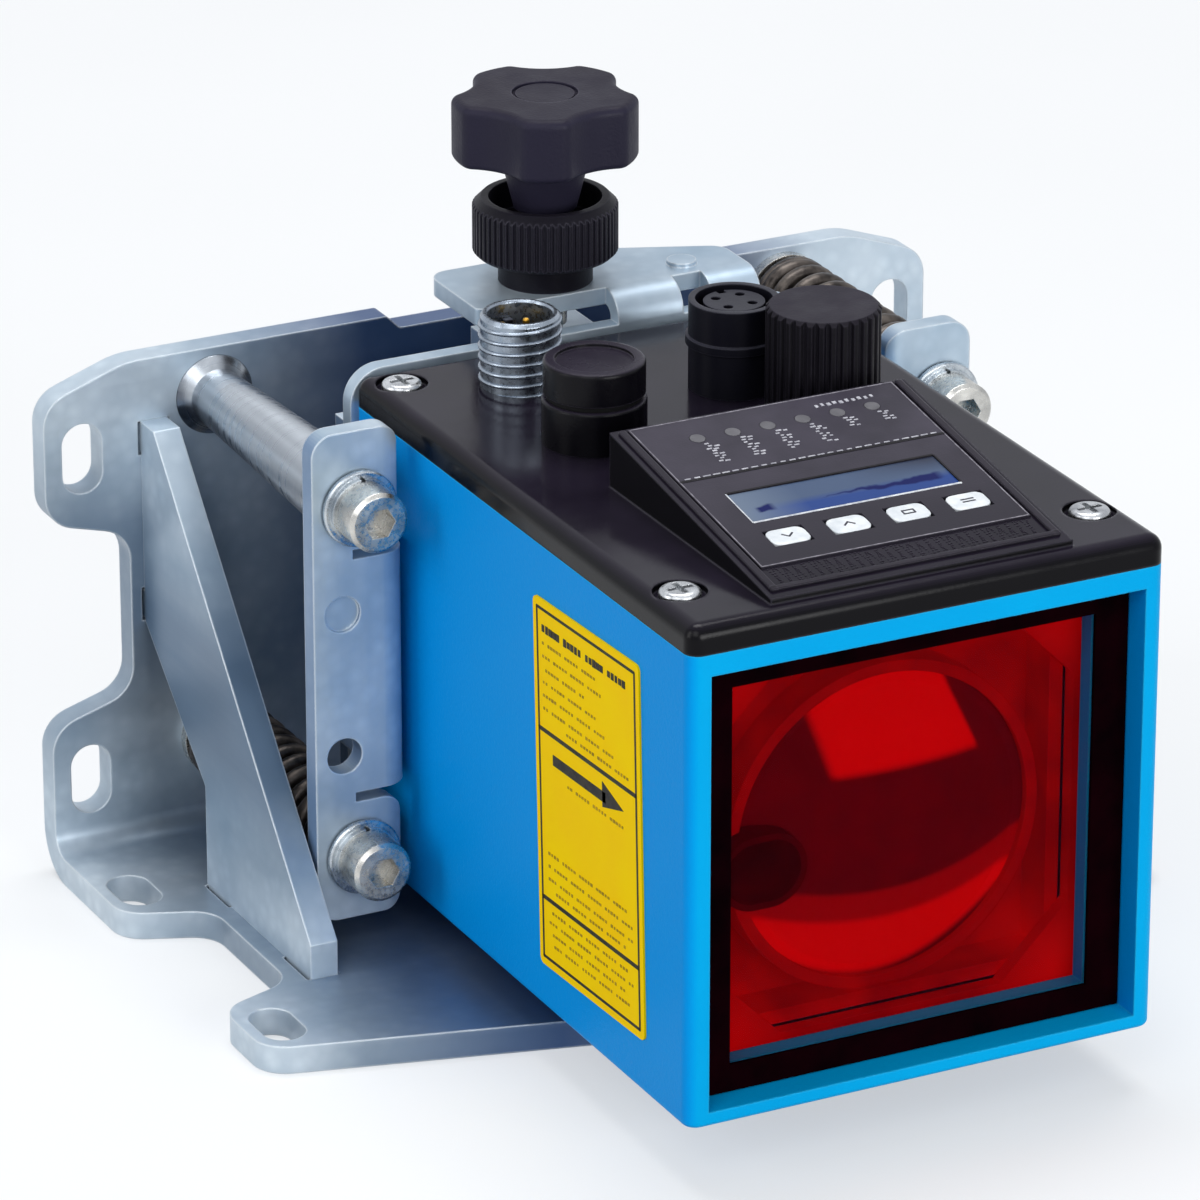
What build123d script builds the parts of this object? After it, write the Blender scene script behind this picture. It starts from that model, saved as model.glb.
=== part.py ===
from build123d import *
import math
import os

# Laser distance sensor on its sheet-steel alignment bracket, in millimetres.
# X is across the window, -Y is the way the beam leaves, +Z is up.
# The origin is the middle of the footprint, on the face the bracket stands on.

# Folded mounting bracket
plate_t = 4.0
bracket_ear_w = 16.5
bend_inner_r = 3.0
back_over_pivot = 7.0
waist_in = 12.5
ear_r = 5.0
shoulder_r = 13.0
upper_ear_h = 22.1
waist_top_drop = 25.5
waist_bottom_z = 26.4
lower_ear_top_z = 22.6
ear_shoulder_drop = 4.4
ear_shoulder_run = 12.5
top_step = 2.0
top_step_half_w = 14.9
step_corner_r = 0.8
slot_w = 6.0
slot_len = 10.3
back_slot_in = 5.65
back_slot_low_z = 14.2
back_slot_drop = 13.1
base_slot_in = 4.7
base_ear_back_reach = 27.05
base_ear_top_reach = 60.95
base_ear_l = 13.7
base_waist_in = 11.8
base_waist_back_run = 4.8
base_waist_front_run = 4.1
base_slot_front_in = 7.5
base_slot_rear_in = 6.4
base_front_half_w = 20.0
base_reach = 87.65

# Stiffening gussets, welded in by tabs
gusset_t = 4.0
gusset_gap = 2.5
gusset_top_drop = 2.1
gusset_spring_clear = 0.8
gusset_top_run = 4.5
gusset_reach = 58.15
gusset_front_h = 5.1
gusset_notch_reach = 23.75
gusset_notch_z = 19.1
gusset_heel_z = 36.7
tab_len = 5.0
base_tab_len = 8.0
tab_clear = 0.4

# Alignment cradle, folded from one sheet
cradle_t = 3.0
cradle_gap = 1.3
cradle_bend_r = 0.8
flange_w = 14.3
flange_depth = 22.4
flange_rise = 2.05
flange_over = 5.0
flange_corner_r = 3.2
leg_end_gap = 37.0
relief_w = 1.4
relief_len = 4.6
ear_gap = 1.4
ear_inner_r = 3.0
ear_top_inner_r = 3.0
dimple_depth = 0.6
lug_half_w = 8.0
lug_reach = 16.0
lug_drop = 1.2
lug_gap = 2.6
lug_hole_clear = 0.3
web_lip = 0.5

# Adjusting screws, springs and the fixed pivot
pivot_out = 7.5
yaw_screw_out = 10.0
pivot_top_drop = 11.05
pitch_bottom_rise = 9.05
screw_r = 2.5
screw_head_r = 4.25
screw_head_h = 5.0
hex_across = 4.0
hex_depth = 2.6
screw_head_chamfer = 0.5
washer_r = 5.4
washer_t = 0.7
washer_chamfer = 0.2
pivot_washer_clear = 0.2
lock_washer_r = 4.6
lock_washer_t = 0.8
lock_washer_split = 0.6
washer_gap = 0.35
screw_hole_r = 3.3
side_hole_r = 2.6
side_hole_drop = 15.2
side_hole_out = 10.0
post_front_r = 5.6
post_rear_r = 4.0
weld_w = 1.8
weld_t = 1.4
pivot_screw_len = 12.0
screw_tip_gap = 2.0
ball_r = 4.5
ball_clear = 0.04
bore_clear = 0.08
nut_r = 5.0
nut_flange_r = 6.2
nut_flange_t = 1.6
screw_end_back = 3.6
spring_wire_r = 1.15
spring_outer_r = 6.4
spring_turns = 13
spring_end_gap = 0.3

# Sensor housing, die-cast
housing_w = 69.4
housing_h = 66.3
housing_gap = 4.9
housing_wall = 3.0
housing_corner_r = 2.0
housing_edge_r = 0.8
frame_w = 3.0
frame_bottom_w = 2.1
recess_depth = 6.5
septum_t = 2.5
pane_seat_w = 2.9
rear_boss_w = 2.5
lid_boss_w = 2.0
lid_boss_h = 14.0
boss_end_t = 1.0
boss_clear = 0.3

# Window
pane_t = 2.0
pane_gap = 0.2
pane_corner_r = 1.0
bezel_t = 0.5
bezel_lap = 0.9

# Optics inside
lens_frame_t = 2.0
lens_frame_lap = 1.5
lens_box_depth = 10.0
lens_box_in = 3.0
barrel_front_gap = 3.0
barrel_wall = 1.6
lens_lip = 0.8
receiver_drop = 1.2
octagon_in = 1.1
octagon_chamfer = 10.0
receiver_in = 6.0
receiver_edge_t = 3.0
receiver_crown_r = 55.0
receiver_rim = 1.5
crown_sink = 0.5
receiver_y = 4.0
emitter_in = 3.7
emitter_drop = 3.0
emitter_r = 5.2
emitter_wall = 0.9
emitter_reach = 2.4
emitter_front_gap = 0.4
emitter_clear = 0.15
emitter_lens_t = 2.5
lens_box_wall = 2.0
laser_gap = 18.0
laser_r = 4.5
laser_len = 16.0
laser_face_t = 1.5
laser_flange_w = 1.5
laser_flange_t = 3.0
carrier_t = 2.5
carrier_top_gap = 3.0
carrier_foot_inset = 8.0
carrier_foot_l = 12.0
light_hole_w = 4.0
board_clear = 0.3
detector_inset = 12.0
detector_half_h = 16.0
detector_chip_t = 1.4
detector_board_t = 1.6
detector_r = 3.0
main_board_t = 1.6
main_board_drop = 10.0
main_board_inset = 4.5
main_board_gap = 8.0
chip_l = 16.0
chip_t = 2.0
standoff_inset = 3.0
standoff_r = 2.5

# Lid with the sloping control panel
lid_t = 4.0
lid_edge_r = 2.0
lid_wall = 2.2
gasket_t = 0.6
gasket_w = 1.6
gasket_clear = 0.1
gasket_eye_w = 1.7
gasket_eye_clear = 0.2
lid_screw_in = 4.7
lid_screw_front = 12.0
lid_screw_rear_in = 5.4
lid_screw_r = 1.5
lid_head_r = 2.8
lid_head_h = 1.4
lid_scoop_r = 3.6
lid_scoop_depth = 1.0
lid_screw_reach = 9.0
lid_bore_spare = 1.0
lid_hole_clear = 0.3
lid_head_round = 0.8
lid_cross_w = 0.8
lid_cross_l = 3.6
lid_cross_floor = 0.5
wedge_half_w = 22.0
wedge_front = 2.5
wedge_len = 45.0
wedge_front_h = 0.8
wedge_rear_h = 7.6
overlay_in = 2.2
overlay_start = 7.0
overlay_t = 0.5
overlay_clear = 0.1
lcd_in = 4.5
lcd_start = 17.7
lcd_end = 25.4
lcd_t = 2.0
lcd_clear = 0.05
lcd_proud = 0.1
roof_t = 2.0
hollow_start = 5.0
hollow_depth = 14.0
key_margin = 2.2
key_offset_x = 0.6
key_row = 13.2
key_w = 5.6
key_l = 3.8
key_proud = 0.35
key_clear = 0.08
key_travel = 0.3
key_stop_gap = 0.1
key_hole_clear = 0.4
key_edge_r = 0.15
led_row_in = 5.2
led_margin = 4.2
led_offset_x = 1.0
led_r = 1.05
led_proud = 0.3
led_clear = 0.04
panel_board_t = 1.2
panel_board_inset = 0.5

# Round connectors on the lid
m12_r = 5.8
m12_bore_r = 4.4
m12_flange_r = 6.7
m12_flange_h = 2.0
m12_height = 10.3
m12_flange_chamfer = 0.6
plug_x = -15.7
plug_behind = 39.2
plug_to_back = 12.7
insert_r = 4.3
insert_h = 4.0
pin_r = 0.5
pin_circle_r = 2.6
pin_h = 4.5
pin_count = 4
pin_tip_r = 0.35
stem_step = 0.9
stem_clear = 0.1
socket_floor_t = 1.0
key_rib_w = 1.2
key_rib_h = 1.0
key_rib_l = 4.0
key_slot_l = 7.6
socket_x = 9.8
socket_behind = 25.5
socket_r = 6.2
socket_bore_r = 5.3
socket_height = 12.6
socket_insert_r = 4.2
socket_insert_h = 12.2
socket_wire_r = 3.9
ring_h = 1.2
ring_proud = 0.4
ring_drop = 5.0
contact_r = 0.7
contact_depth = 6.0
port_insert_r = 4.3
port_insert_h = 4.6
port_insert_drop = 1.0
port_contact_depth = 3.6
capped_x = -16.1
capped_gap = 9.0
capped_r = 7.1
capped_height = 6.2
capped_edge_r = 0.4
cap_r = 6.9
cap_head_h = 4.6
cap_edge_r = 0.5
cap_rim_w = 1.6
cap_dish_depth = 0.5
cap_shank_r = 5.22
cap_shank_len = 4.0
seal_t = 0.8
seal_w = 1.2
fluted_x = 16.2
fluted_gap = 4.2
fluted_r = 7.8
fluted_height = 14.6
flute_count = 30
flute_depth = 0.5
fluted_chamfer = 0.5
fluted_foot_gap = 0.5
fluted_plug_r = 5.6
fluted_plug_h = 9.0
fluted_seal_t = 0.9
seal_gap = 0.05
fluted_seal_clear = 0.1

# Device plate with the clamp tab
device_t = 2.5
device_side = 0.5
device_top = 0.5
device_corner_r = 5.0
leg_gap_x = 5.8
leg_a_w = 10.1
leg_notch_w = 4.6
leg_b_w = 7.6
tab_rise = 4.2
tab_bend_r = 1.5
tab_left_x = -14.0
tab_back = 17.6
tab_taper_x = 8.0
tab_taper = 8.4
tab_front_corner_r = 1.0
tab_corner_r = 3.0
tab_taper_r = 4.0
stud_r = 2.1
stud_h = 0.6
stud_x = 19.6
stud_behind = 7.9
rear_screw_in = 12.7
rear_screw_end = 11.15
rear_screw_r = 2.0
rear_head_r = 3.8
rear_head_h = 2.0
rear_screw_len = 7.0
rear_cross_w = 1.0
rear_cross_l = 5.2
rear_cross_depth = 0.9

# Clamp knob stack
knob_back = 8.6
bush_r = 6.6
bush_h = 3.9
bush_thread_r = 5.6
bush_thread_h = 4.2
ring_r = 10.15
ring_bottom_gap = 0.1
lock_ring_h = 8.2
ring_hollow_r = 7.9
ring_hollow_depth = 4.1
ring_chamfer = 1.2
knurl_count = 60
knurl_depth = 0.4
spindle_r = 3.0
spindle_tip_r = 2.4
tip_reach = 2.0
knob_rise = 18.3
knob_r = 13.0
knob_h = 9.0
knob_lobes = 5
lobe_cut_r = 9.0
lobe_cut_x = 19.8
lobe_round_r = 2.0
lobe_turn = -80.0
neck_r = 6.3
neck_tip_r = 4.4
neck_h = 7.6
knob_edge_r = 1.2
knob_foot_r = 0.8
knob_badge_r = 4.1
knob_groove_w = 0.5
knob_groove_depth = 0.6
knob_badge_drop = 0.2
spindle_tip_chamfer = 0.8
running_clear = 0.06
spindle_seal_t = 1.0
spindle_seal_w = 1.2
spindle_seal_gap = 0.15

# Vent plug under the housing
vent_in = 4.7
vent_to_back = 29.4
vent_r = 2.6
vent_h = 2.4
vent_stem_r = 1.6
vent_edge_r = 0.5

# Label plate on the left side
label_l = 30.3
label_bottom_gap = 7.2
label_t = 0.3
label_front = 12.8
label_top_drop = 6.8
label_tilt = 2.2
label_corner_r = 1.0

# Places worked out from the sizes above
rear_gap = 21.6
wedge_back = wedge_front + wedge_len
plug_back = wedge_back + plug_behind
socket_back = wedge_back + socket_behind
capped_back = wedge_back + capped_gap + capped_r
fluted_back = wedge_back + fluted_gap + fluted_r
housing_depth = plug_back + plug_to_back
overall_depth = housing_depth + device_t + cradle_t + rear_gap + plate_t
rear_y = overall_depth / 2
front_y = -rear_y
housing_back_y = front_y + housing_depth
web_y = housing_back_y + device_t
back_y = rear_y - plate_t
flange_y = web_y - flange_depth
housing_z = plate_t + housing_gap
housing_top_z = housing_z + housing_h
lid_top_z = housing_top_z + lid_t
recess_floor_y = front_y + recess_depth
optics_y = recess_floor_y + septum_t
tab_top_z = lid_top_z + device_top + tab_rise
knob_y = web_y + knob_back

# Cradle and bracket, round the housing
cradle_inner_half_w = housing_w / 2 + cradle_gap
flange_half_w = cradle_inner_half_w + flange_w
flange_mid_z = housing_z + housing_h / 2 + flange_rise
flange_h = housing_h + flange_over
leg_h = flange_h - leg_end_gap
pivot_x = cradle_inner_half_w + pivot_out
yaw_screw_x = cradle_inner_half_w + yaw_screw_out
side_hole_x = cradle_inner_half_w + side_hole_out
pivot_z = flange_mid_z + flange_h / 2 - pivot_top_drop
pitch_z = flange_mid_z - flange_h / 2 + pitch_bottom_rise
gusset_half_x = flange_half_w + gusset_gap
gusset_top_z = pivot_z - gusset_top_drop
gusset_front_y = rear_y - gusset_reach
gusset_notch_y = rear_y - gusset_notch_reach
bracket_half_w = gusset_half_x + bracket_ear_w
back_top_z = pivot_z + back_over_pivot
upper_ear_bottom_z = back_top_z - upper_ear_h
waist_top_z = back_top_z - waist_top_drop
waist_half_w = bracket_half_w - waist_in
back_slot_x = bracket_half_w - back_slot_in
back_slot_high_z = back_top_z - back_slot_drop
base_slot_x = bracket_half_w - base_slot_in
base_waist_half_w = bracket_half_w - base_waist_in
base_ear_back_y = rear_y - base_ear_back_reach
base_ear_top_y = rear_y - base_ear_top_reach
base_ear_front_y = base_ear_top_y - base_ear_l
base_waist_back_y = base_ear_back_y - base_waist_back_run
base_waist_front_y = base_ear_top_y + base_waist_front_run
base_slot_front_y = base_ear_top_y - base_slot_front_in
base_slot_rear_y = base_ear_back_y + base_slot_rear_in
base_front_y = rear_y - base_reach

# Window and optics, in the housing's recess
window_z = housing_z + (housing_h + frame_bottom_w - frame_w) / 2
pane_half_w = housing_w / 2 - frame_w - pane_gap
pane_half_h = (housing_h - frame_w - frame_bottom_w) / 2 - pane_gap
aperture_half = min(pane_half_w, pane_half_h) - pane_seat_w
bezel_inner_half = aperture_half - bezel_lap
lens_frame_half = aperture_half + lens_frame_lap
octagon_half = aperture_half - octagon_in
receiver_r = aperture_half - receiver_in
emitter_x = emitter_in - receiver_r

# Lid, panel, screws and label
lid_screw_x = housing_w / 2 - lid_screw_in
lid_screw_rear = housing_depth - lid_screw_rear_in
overlay_half_w = wedge_half_w - overlay_in
overlay_end = wedge_len
lcd_half_w = overlay_half_w - lcd_in
key_count = 4
key_pitch = 2 * (overlay_half_w - key_margin) / key_count
led_count = 6
led_pitch = 2 * (overlay_half_w - led_margin) / led_count
led_row = overlay_end - led_row_in
device_half_w = housing_w / 2 + device_side
stud_back = housing_depth + stud_behind
rear_screw_x = housing_w / 2 - rear_screw_in
rear_screw_low_z = housing_z + rear_screw_end
rear_screw_pitch = housing_h - 2 * rear_screw_end
vent_x = vent_in - housing_w / 2
vent_back = housing_depth - vent_to_back
label_h = housing_h - label_top_drop - label_bottom_gap
lug_top_z = tab_top_z - device_t - lug_drop - tip_reach - lug_gap
wedge_angle = math.degrees(math.atan2(wedge_rear_h - wedge_front_h, wedge_len))
pivot_y = flange_y + cradle_t / 2


def block(x0, x1, y0, y1, z0, z1):
    return Pos((x0 + x1) / 2, (y0 + y1) / 2, (z0 + z1) / 2) * Box(x1 - x0, y1 - y0, z1 - z0)


def post(radius, x, y, z0, z1):
    return Pos(x, y, (z0 + z1) / 2) * Cylinder(radius, z1 - z0)


def rod(radius, x, z, y0, y1):
    return Pos(x, (y0 + y1) / 2, z) * Rot(90, 0, 0) * Cylinder(radius, y1 - y0)


def face_yz(points):
    return Plane.YZ * make_face(Polyline(*points, close=True))


def prism_x(points, x0, x1):
    return Pos(x0, 0, 0) * extrude(face_yz(points), x1 - x0)


def back_prism(sketch, y0, y1):
    plane = Plane(origin=(0, y0, 0), x_dir=(1, 0, 0), z_dir=(0, -1, 0))
    return extrude(plane * sketch, -(y1 - y0))


def ribbed(radius, depth, count, x, y, z0, z1):
    step = 2 * math.pi / count
    points = []
    for i in range(count):
        for r, turn in ((radius, -0.18), (radius, 0.18), (radius - depth, 0.38), (radius - depth, 0.62)):
            a = (i + turn) * step
            points.append((x + r * math.cos(a), y + r * math.sin(a)))
    return Pos(0, 0, z0) * extrude(make_face(Polyline(*points, close=True)), z1 - z0)


def rounded(points_and_radii):
    points = [item[0] for item in points_and_radii]
    sketch = make_face(Polyline(*points, close=True))
    for point, radius in points_and_radii:
        if radius > 0:
            corner = sketch.vertices().sort_by_distance((point[0], point[1], 0))[0]
            sketch = fillet(corner, radius)
    return sketch


def both_sides(half):
    return half + [((-p[0], p[1]), r) for p, r in reversed(half)]


# Mounting bracket: one 4 mm sheet folded to an L
def back_outline():
    return rounded(both_sides([
        ((top_step_half_w, back_top_z - top_step), step_corner_r),
        ((top_step_half_w + top_step, back_top_z), step_corner_r),
        ((bracket_half_w - ear_shoulder_run, back_top_z), shoulder_r),
        ((bracket_half_w, back_top_z - ear_shoulder_drop), ear_r),
        ((bracket_half_w, upper_ear_bottom_z), ear_r),
        ((waist_half_w, waist_top_z), ear_r),
        ((waist_half_w, waist_bottom_z), ear_r),
        ((bracket_half_w, lower_ear_top_z), ear_r),
        ((bracket_half_w, plate_t), 0),
    ]))


def base_outline():
    return rounded(both_sides([
        ((bracket_half_w, overall_depth / 2), 0),
        ((bracket_half_w, base_ear_back_y), ear_r),
        ((base_waist_half_w, base_waist_back_y), ear_r),
        ((base_waist_half_w, base_waist_front_y), ear_r),
        ((bracket_half_w, base_ear_top_y), ear_r),
        ((bracket_half_w, base_ear_front_y), ear_r),
        ((base_front_half_w, base_front_y), shoulder_r),
    ]))


def folded_sheet():
    outer_r = bend_inner_r + plate_t
    rear = overall_depth / 2
    back = block(-bracket_half_w, bracket_half_w, back_y, rear, outer_r, back_top_z)
    base = block(-bracket_half_w, bracket_half_w, base_front_y, rear - outer_r, 0, plate_t)
    ring = Cylinder(outer_r, 2 * bracket_half_w) - Cylinder(bend_inner_r, 2 * bracket_half_w)
    bend = Pos(0, rear - outer_r, outer_r) * Rot(0, 90, 0) * ring
    corner = block(-bracket_half_w, bracket_half_w, rear - outer_r, rear, 0, outer_r)
    return back + base + (bend & corner)


def slot(length, width):
    return SlotOverall(length, width)


def slot_cuts():
    cuts = []
    for side in (-1, 1):
        for row in (0, 1):
            z = (back_slot_low_z, back_slot_high_z)[row]
            upright = Pos(side * back_slot_x, z) * Rot(0, 0, 90) * slot(slot_len, slot_w)
            cuts.append(back_prism(upright, back_y - 1, overall_depth / 2 + 1))
            y = (base_slot_front_y, base_slot_rear_y)[row]
            along = Pos(side * base_slot_x, y) * Rot(0, 0, 90) * slot(slot_len, slot_w)
            cuts.append(Pos(0, 0, -1) * extrude(along, plate_t + 2))
    return cuts


def gusset_top(side):
    if side < 0:
        return gusset_top_z
    reach = gusset_half_x - gusset_t / 2 - yaw_screw_x
    return pivot_z - math.sqrt(spring_outer_r ** 2 - reach ** 2) - gusset_spring_clear


def tab_places(side):
    back = [gusset_top(side) - tab_len, gusset_heel_z]
    base = [gusset_notch_y - base_tab_len, gusset_front_y + tab_clear]
    return back, base


def tab_cuts(side):
    back, base = tab_places(side)
    half = gusset_t / 2 + tab_clear
    x0 = side * gusset_half_x - half
    x1 = side * gusset_half_x + half
    cuts = []
    for z in back:
        cuts.append(block(x0, x1, back_y - 1, overall_depth / 2 + 1, z, z + tab_len))
    for y in base:
        cuts.append(block(x0, x1, y, y + base_tab_len, -1, plate_t + 1))
    return cuts


def mounting_bracket():
    rear = overall_depth / 2
    outlines = back_prism(back_outline(), back_y - 1, rear + 1)
    outlines += Pos(0, 0, -1) * extrude(base_outline(), plate_t + 1 + bend_inner_r + plate_t)
    sheet = folded_sheet() & outlines
    for cut in slot_cuts() + tab_cuts(-1) + tab_cuts(1):
        sheet -= cut
    for x, z in ((yaw_screw_x, pivot_z), (-pivot_x, pitch_z)):
        sheet -= rod(nut_r, x, z, back_y - 1, rear + 1)
    return sheet


# Gussets: 4 mm plates with two tabs to the back and two to the base
def gusset(side):
    back, base = tab_places(side)
    x0 = side * gusset_half_x - gusset_t / 2
    x1 = side * gusset_half_x + gusset_t / 2
    top = gusset_top(side)
    rise = gusset_top_z - plate_t - gusset_front_h
    run = back_y - gusset_top_run - gusset_front_y
    top_y = back_y - gusset_top_run - (gusset_top_z - top) * run / rise
    outline = [
        (back_y, top),
        (top_y, top),
        (gusset_front_y, plate_t + gusset_front_h),
        (gusset_front_y, plate_t),
        (gusset_notch_y, plate_t),
        (gusset_notch_y, gusset_notch_z),
        (back_y, gusset_heel_z),
    ]
    plate = prism_x(outline, x0, x1)
    reach = plate_t - tab_clear
    for z in back:
        plate += block(x0, x1, back_y, back_y + reach, z + tab_clear, z + tab_len - tab_clear)
    for y in base:
        plate += block(x0, x1, y + tab_clear, y + base_tab_len - tab_clear, tab_clear, plate_t)
    return plate


# Fixed pivot: a tapered post on the back plate, a ball ring in the flange and a socket screw
def pivot_post():
    y0 = flange_y + cradle_t + washer_gap
    length = back_y - y0
    turn = Rot(90, 0, 0)
    cone = Pos(-pivot_x, y0 + length / 2, pivot_z) * turn * Cone(post_rear_r, post_front_r, length)
    foot = Cone(post_rear_r + weld_w, post_rear_r, weld_t)
    weld = Pos(-pivot_x, back_y - weld_t / 2, pivot_z) * turn * foot
    bore = rod(screw_r, -pivot_x, pivot_z, y0 - 1, y0 + pivot_screw_len + screw_tip_gap)
    return cone + weld - bore


def pivot_ball():
    ball = Pos(-pivot_x, pivot_y, pivot_z) * Sphere(ball_r)
    half = cradle_t / 2
    wide = ball_r + 1
    slab = block(-pivot_x - wide, -pivot_x + wide, pivot_y - half, pivot_y + half,
                 pivot_z - wide, pivot_z + wide)
    return (ball & slab) - rod(screw_r + bore_clear, -pivot_x, pivot_z, pivot_y - wide, pivot_y + wide)


def socket_screw(x, z, y_under, y_end):
    head = rod(screw_head_r, x, z, y_under - screw_head_h, y_under)
    head = chamfer(head.edges().sort_by(Axis.Y)[0], screw_head_chamfer)
    shank = rod(screw_r, x, z, y_under, y_end)
    hexagon = RegularPolygon(hex_across / math.sqrt(3), 6)
    plane = Plane(origin=(x, y_under - screw_head_h, z), x_dir=(1, 0, 0), z_dir=(0, -1, 0))
    socket = extrude(plane * hexagon, -hex_depth)
    return head + shank - socket


def washer(x, z, inner_r):
    y0 = washer_y()
    y1 = y0 + lock_washer_t
    ring = rod(washer_r, x, z, y1, y1 + washer_t)
    ring = chamfer(ring.edges().sort_by(Axis.Y)[0], washer_chamfer)
    ring -= rod(inner_r, x, z, y0, y1 + washer_t + 1)
    spring_ring = rod(lock_washer_r, x, z, y0, y1) - rod(inner_r, x, z, y0 - 1, y1 + 1)
    split = lock_washer_split / 2
    spring_ring -= block(x - split, x + split, y0 - 1, y1 + 1, z, z + washer_r)
    return Compound(children=[ring, spring_ring])


def washer_y():
    return flange_y - washer_gap - washer_t - lock_washer_t


def pivot_screw():
    y_under = washer_y()
    return socket_screw(-pivot_x, pivot_z, y_under, flange_y + cradle_t + washer_gap + pivot_screw_len)


def pivot_washer():
    return washer(-pivot_x, pivot_z, screw_r + pivot_washer_clear)


def adjusting_screw(x, z):
    return socket_screw(x, z, washer_y(), overall_depth / 2 - screw_end_back)


def adjusting_washer(x, z):
    return washer(x, z, screw_r)


def clinch_nut(x, z):
    body = rod(nut_r, x, z, back_y, overall_depth / 2)
    flange = rod(nut_flange_r, x, z, back_y - nut_flange_t, back_y)
    return body + flange - rod(screw_r + bore_clear, x, z, back_y - nut_flange_t - 1,
                               overall_depth / 2 + 1)


# Compression springs: round wire, close wound, with ground flat ends
def spring(x, z):
    y0 = flange_y + cradle_t + spring_end_gap
    y1 = back_y - nut_flange_t
    length = y1 - y0
    pitch = length / (spring_turns - 1)
    mean_r = spring_outer_r - spring_wire_r
    coil_path = Helix(pitch, pitch * spring_turns, mean_r)
    start = coil_path @ 0
    section = Plane(origin=start, z_dir=coil_path % 0) * Circle(spring_wire_r)
    coil = sweep(section, path=coil_path, is_frenet=True)
    coil = Pos(0, 0, -pitch / 2) * coil
    ground = Pos(0, 0, length / 2) * Cylinder(spring_outer_r + 1, length)
    return Pos(x, y1, z) * Rot(90, 0, 0) * (coil & ground)


# Alignment cradle: a hat section with ears, a web behind the sensor and a lug for the clamp pin
def cradle_section():
    inner = cradle_inner_half_w
    outer = inner + cradle_t
    outer_r = cradle_bend_r + cradle_t
    front = both_sides([
        ((flange_half_w, flange_y), 0),
        ((inner, flange_y), outer_r),
        ((inner, web_y), cradle_bend_r),
    ])
    rear = both_sides([
        ((outer, web_y + cradle_t), outer_r),
        ((outer, flange_y + cradle_t), cradle_bend_r),
        ((flange_half_w, flange_y + cradle_t), 0),
    ])
    half = len(rear) // 2
    return rounded(front + rear[half:] + rear[:half])


def cradle_bottom_z():
    return flange_mid_z - flange_h / 2


def leg_cuts(side):
    inner = cradle_inner_half_w
    bend_x = inner + cradle_bend_r + cradle_t
    cuts = []
    for sign in (-1, 1):
        leg_end = flange_mid_z + sign * leg_h / 2
        far = flange_mid_z + sign * (flange_h / 2 + 1)
        z0, z1 = sorted((leg_end, far))
        xa, xb = sorted((side * (inner - 1), side * (inner + ear_gap)))
        cuts.append(block(xa, xb, flange_y - 1, web_y - web_lip, z0, z1))
        xa, xb = sorted((side * (inner - 1), side * (inner + cradle_t + 1)))
        cuts.append(block(xa, xb, flange_y + cradle_t, web_y + cradle_t + 1, z0, z1))
        z0, z1 = sorted((leg_end, leg_end + sign * relief_w))
        xa, xb = sorted((side * (inner - 1), side * (bend_x + relief_len)))
        cuts.append(block(xa, xb, flange_y - 1, flange_y + cradle_t + 1, z0, z1))
    return cuts


def lug():
    outer_r = cradle_bend_r + cradle_t
    y0 = web_y + outer_r
    top = lug_top_z
    plate = block(-lug_half_w, lug_half_w, y0, web_y + lug_reach, top - cradle_t, top)
    ring = Cylinder(outer_r, 2 * lug_half_w) - Cylinder(cradle_bend_r, 2 * lug_half_w)
    ring = Pos(0, y0, top - outer_r) * Rot(0, 90, 0) * ring
    corner = block(-lug_half_w, lug_half_w, web_y, y0, top - outer_r, top)
    return plate + (ring & corner)


def alignment_cradle():
    z0 = cradle_bottom_z()
    sheet = Pos(0, 0, z0) * extrude(cradle_section(), flange_h)
    for side in (-1, 1):
        for cut in leg_cuts(side):
            sheet -= cut
    top = lug_top_z - cradle_bend_r - cradle_t
    wide = cradle_inner_half_w + cradle_t + 1
    sheet -= block(-wide, wide, web_y - web_lip, web_y + cradle_t + 1, top, z0 + flange_h + 1)
    for side in (-1, 1):
        inner_x = side * (cradle_inner_half_w + ear_gap)
        for end in (-1, 1):
            tip_z = flange_mid_z + end * flange_h / 2
            relief_z = flange_mid_z + end * (leg_h / 2 + relief_w)
            rounds = (
                (side * flange_half_w, tip_z, flange_corner_r),
                (inner_x, tip_z, ear_top_inner_r),
                (inner_x, relief_z, ear_inner_r),
            )
            for x, z, radius in rounds:
                across = sheet.edges().filter_by(Axis.Y)
                corner = across.sort_by_distance((x, flange_y + cradle_t / 2, z))[0]
                sheet = fillet(corner, radius)
    sheet += lug()
    sheet -= Pos(-pivot_x, pivot_y, pivot_z) * Sphere(ball_r + ball_clear)
    for x, z in ((yaw_screw_x, pivot_z), (-pivot_x, pitch_z)):
        sheet -= rod(screw_hole_r, x, z, flange_y - 1, flange_y + cradle_t + 1)
    for x in (-side_hole_x, side_hole_x):
        sheet -= rod(side_hole_r, x, pitch_z + side_hole_drop, flange_y - 1, flange_y + cradle_t + 1)
        sheet -= rod(side_hole_r, x, pivot_z - side_hole_drop, flange_y - 1, flange_y + dimple_depth)
    sheet -= post(spindle_tip_r + lug_hole_clear, 0, knob_y, lug_top_z - cradle_t - 1, lug_top_z + 1)
    return sheet


# Device plate: carries the sensor, with two legs folded back to the clamp tab
def device_panel():
    z0 = cradle_bottom_z()
    z1 = lid_top_z + device_top
    panel = block(-device_half_w, device_half_w, housing_back_y, web_y, z0, z1)
    return fillet(panel.edges().filter_by(Axis.Y), device_corner_r)


def tab_right_x():
    return leg_gap_x + leg_a_w + leg_notch_w + leg_b_w


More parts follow.
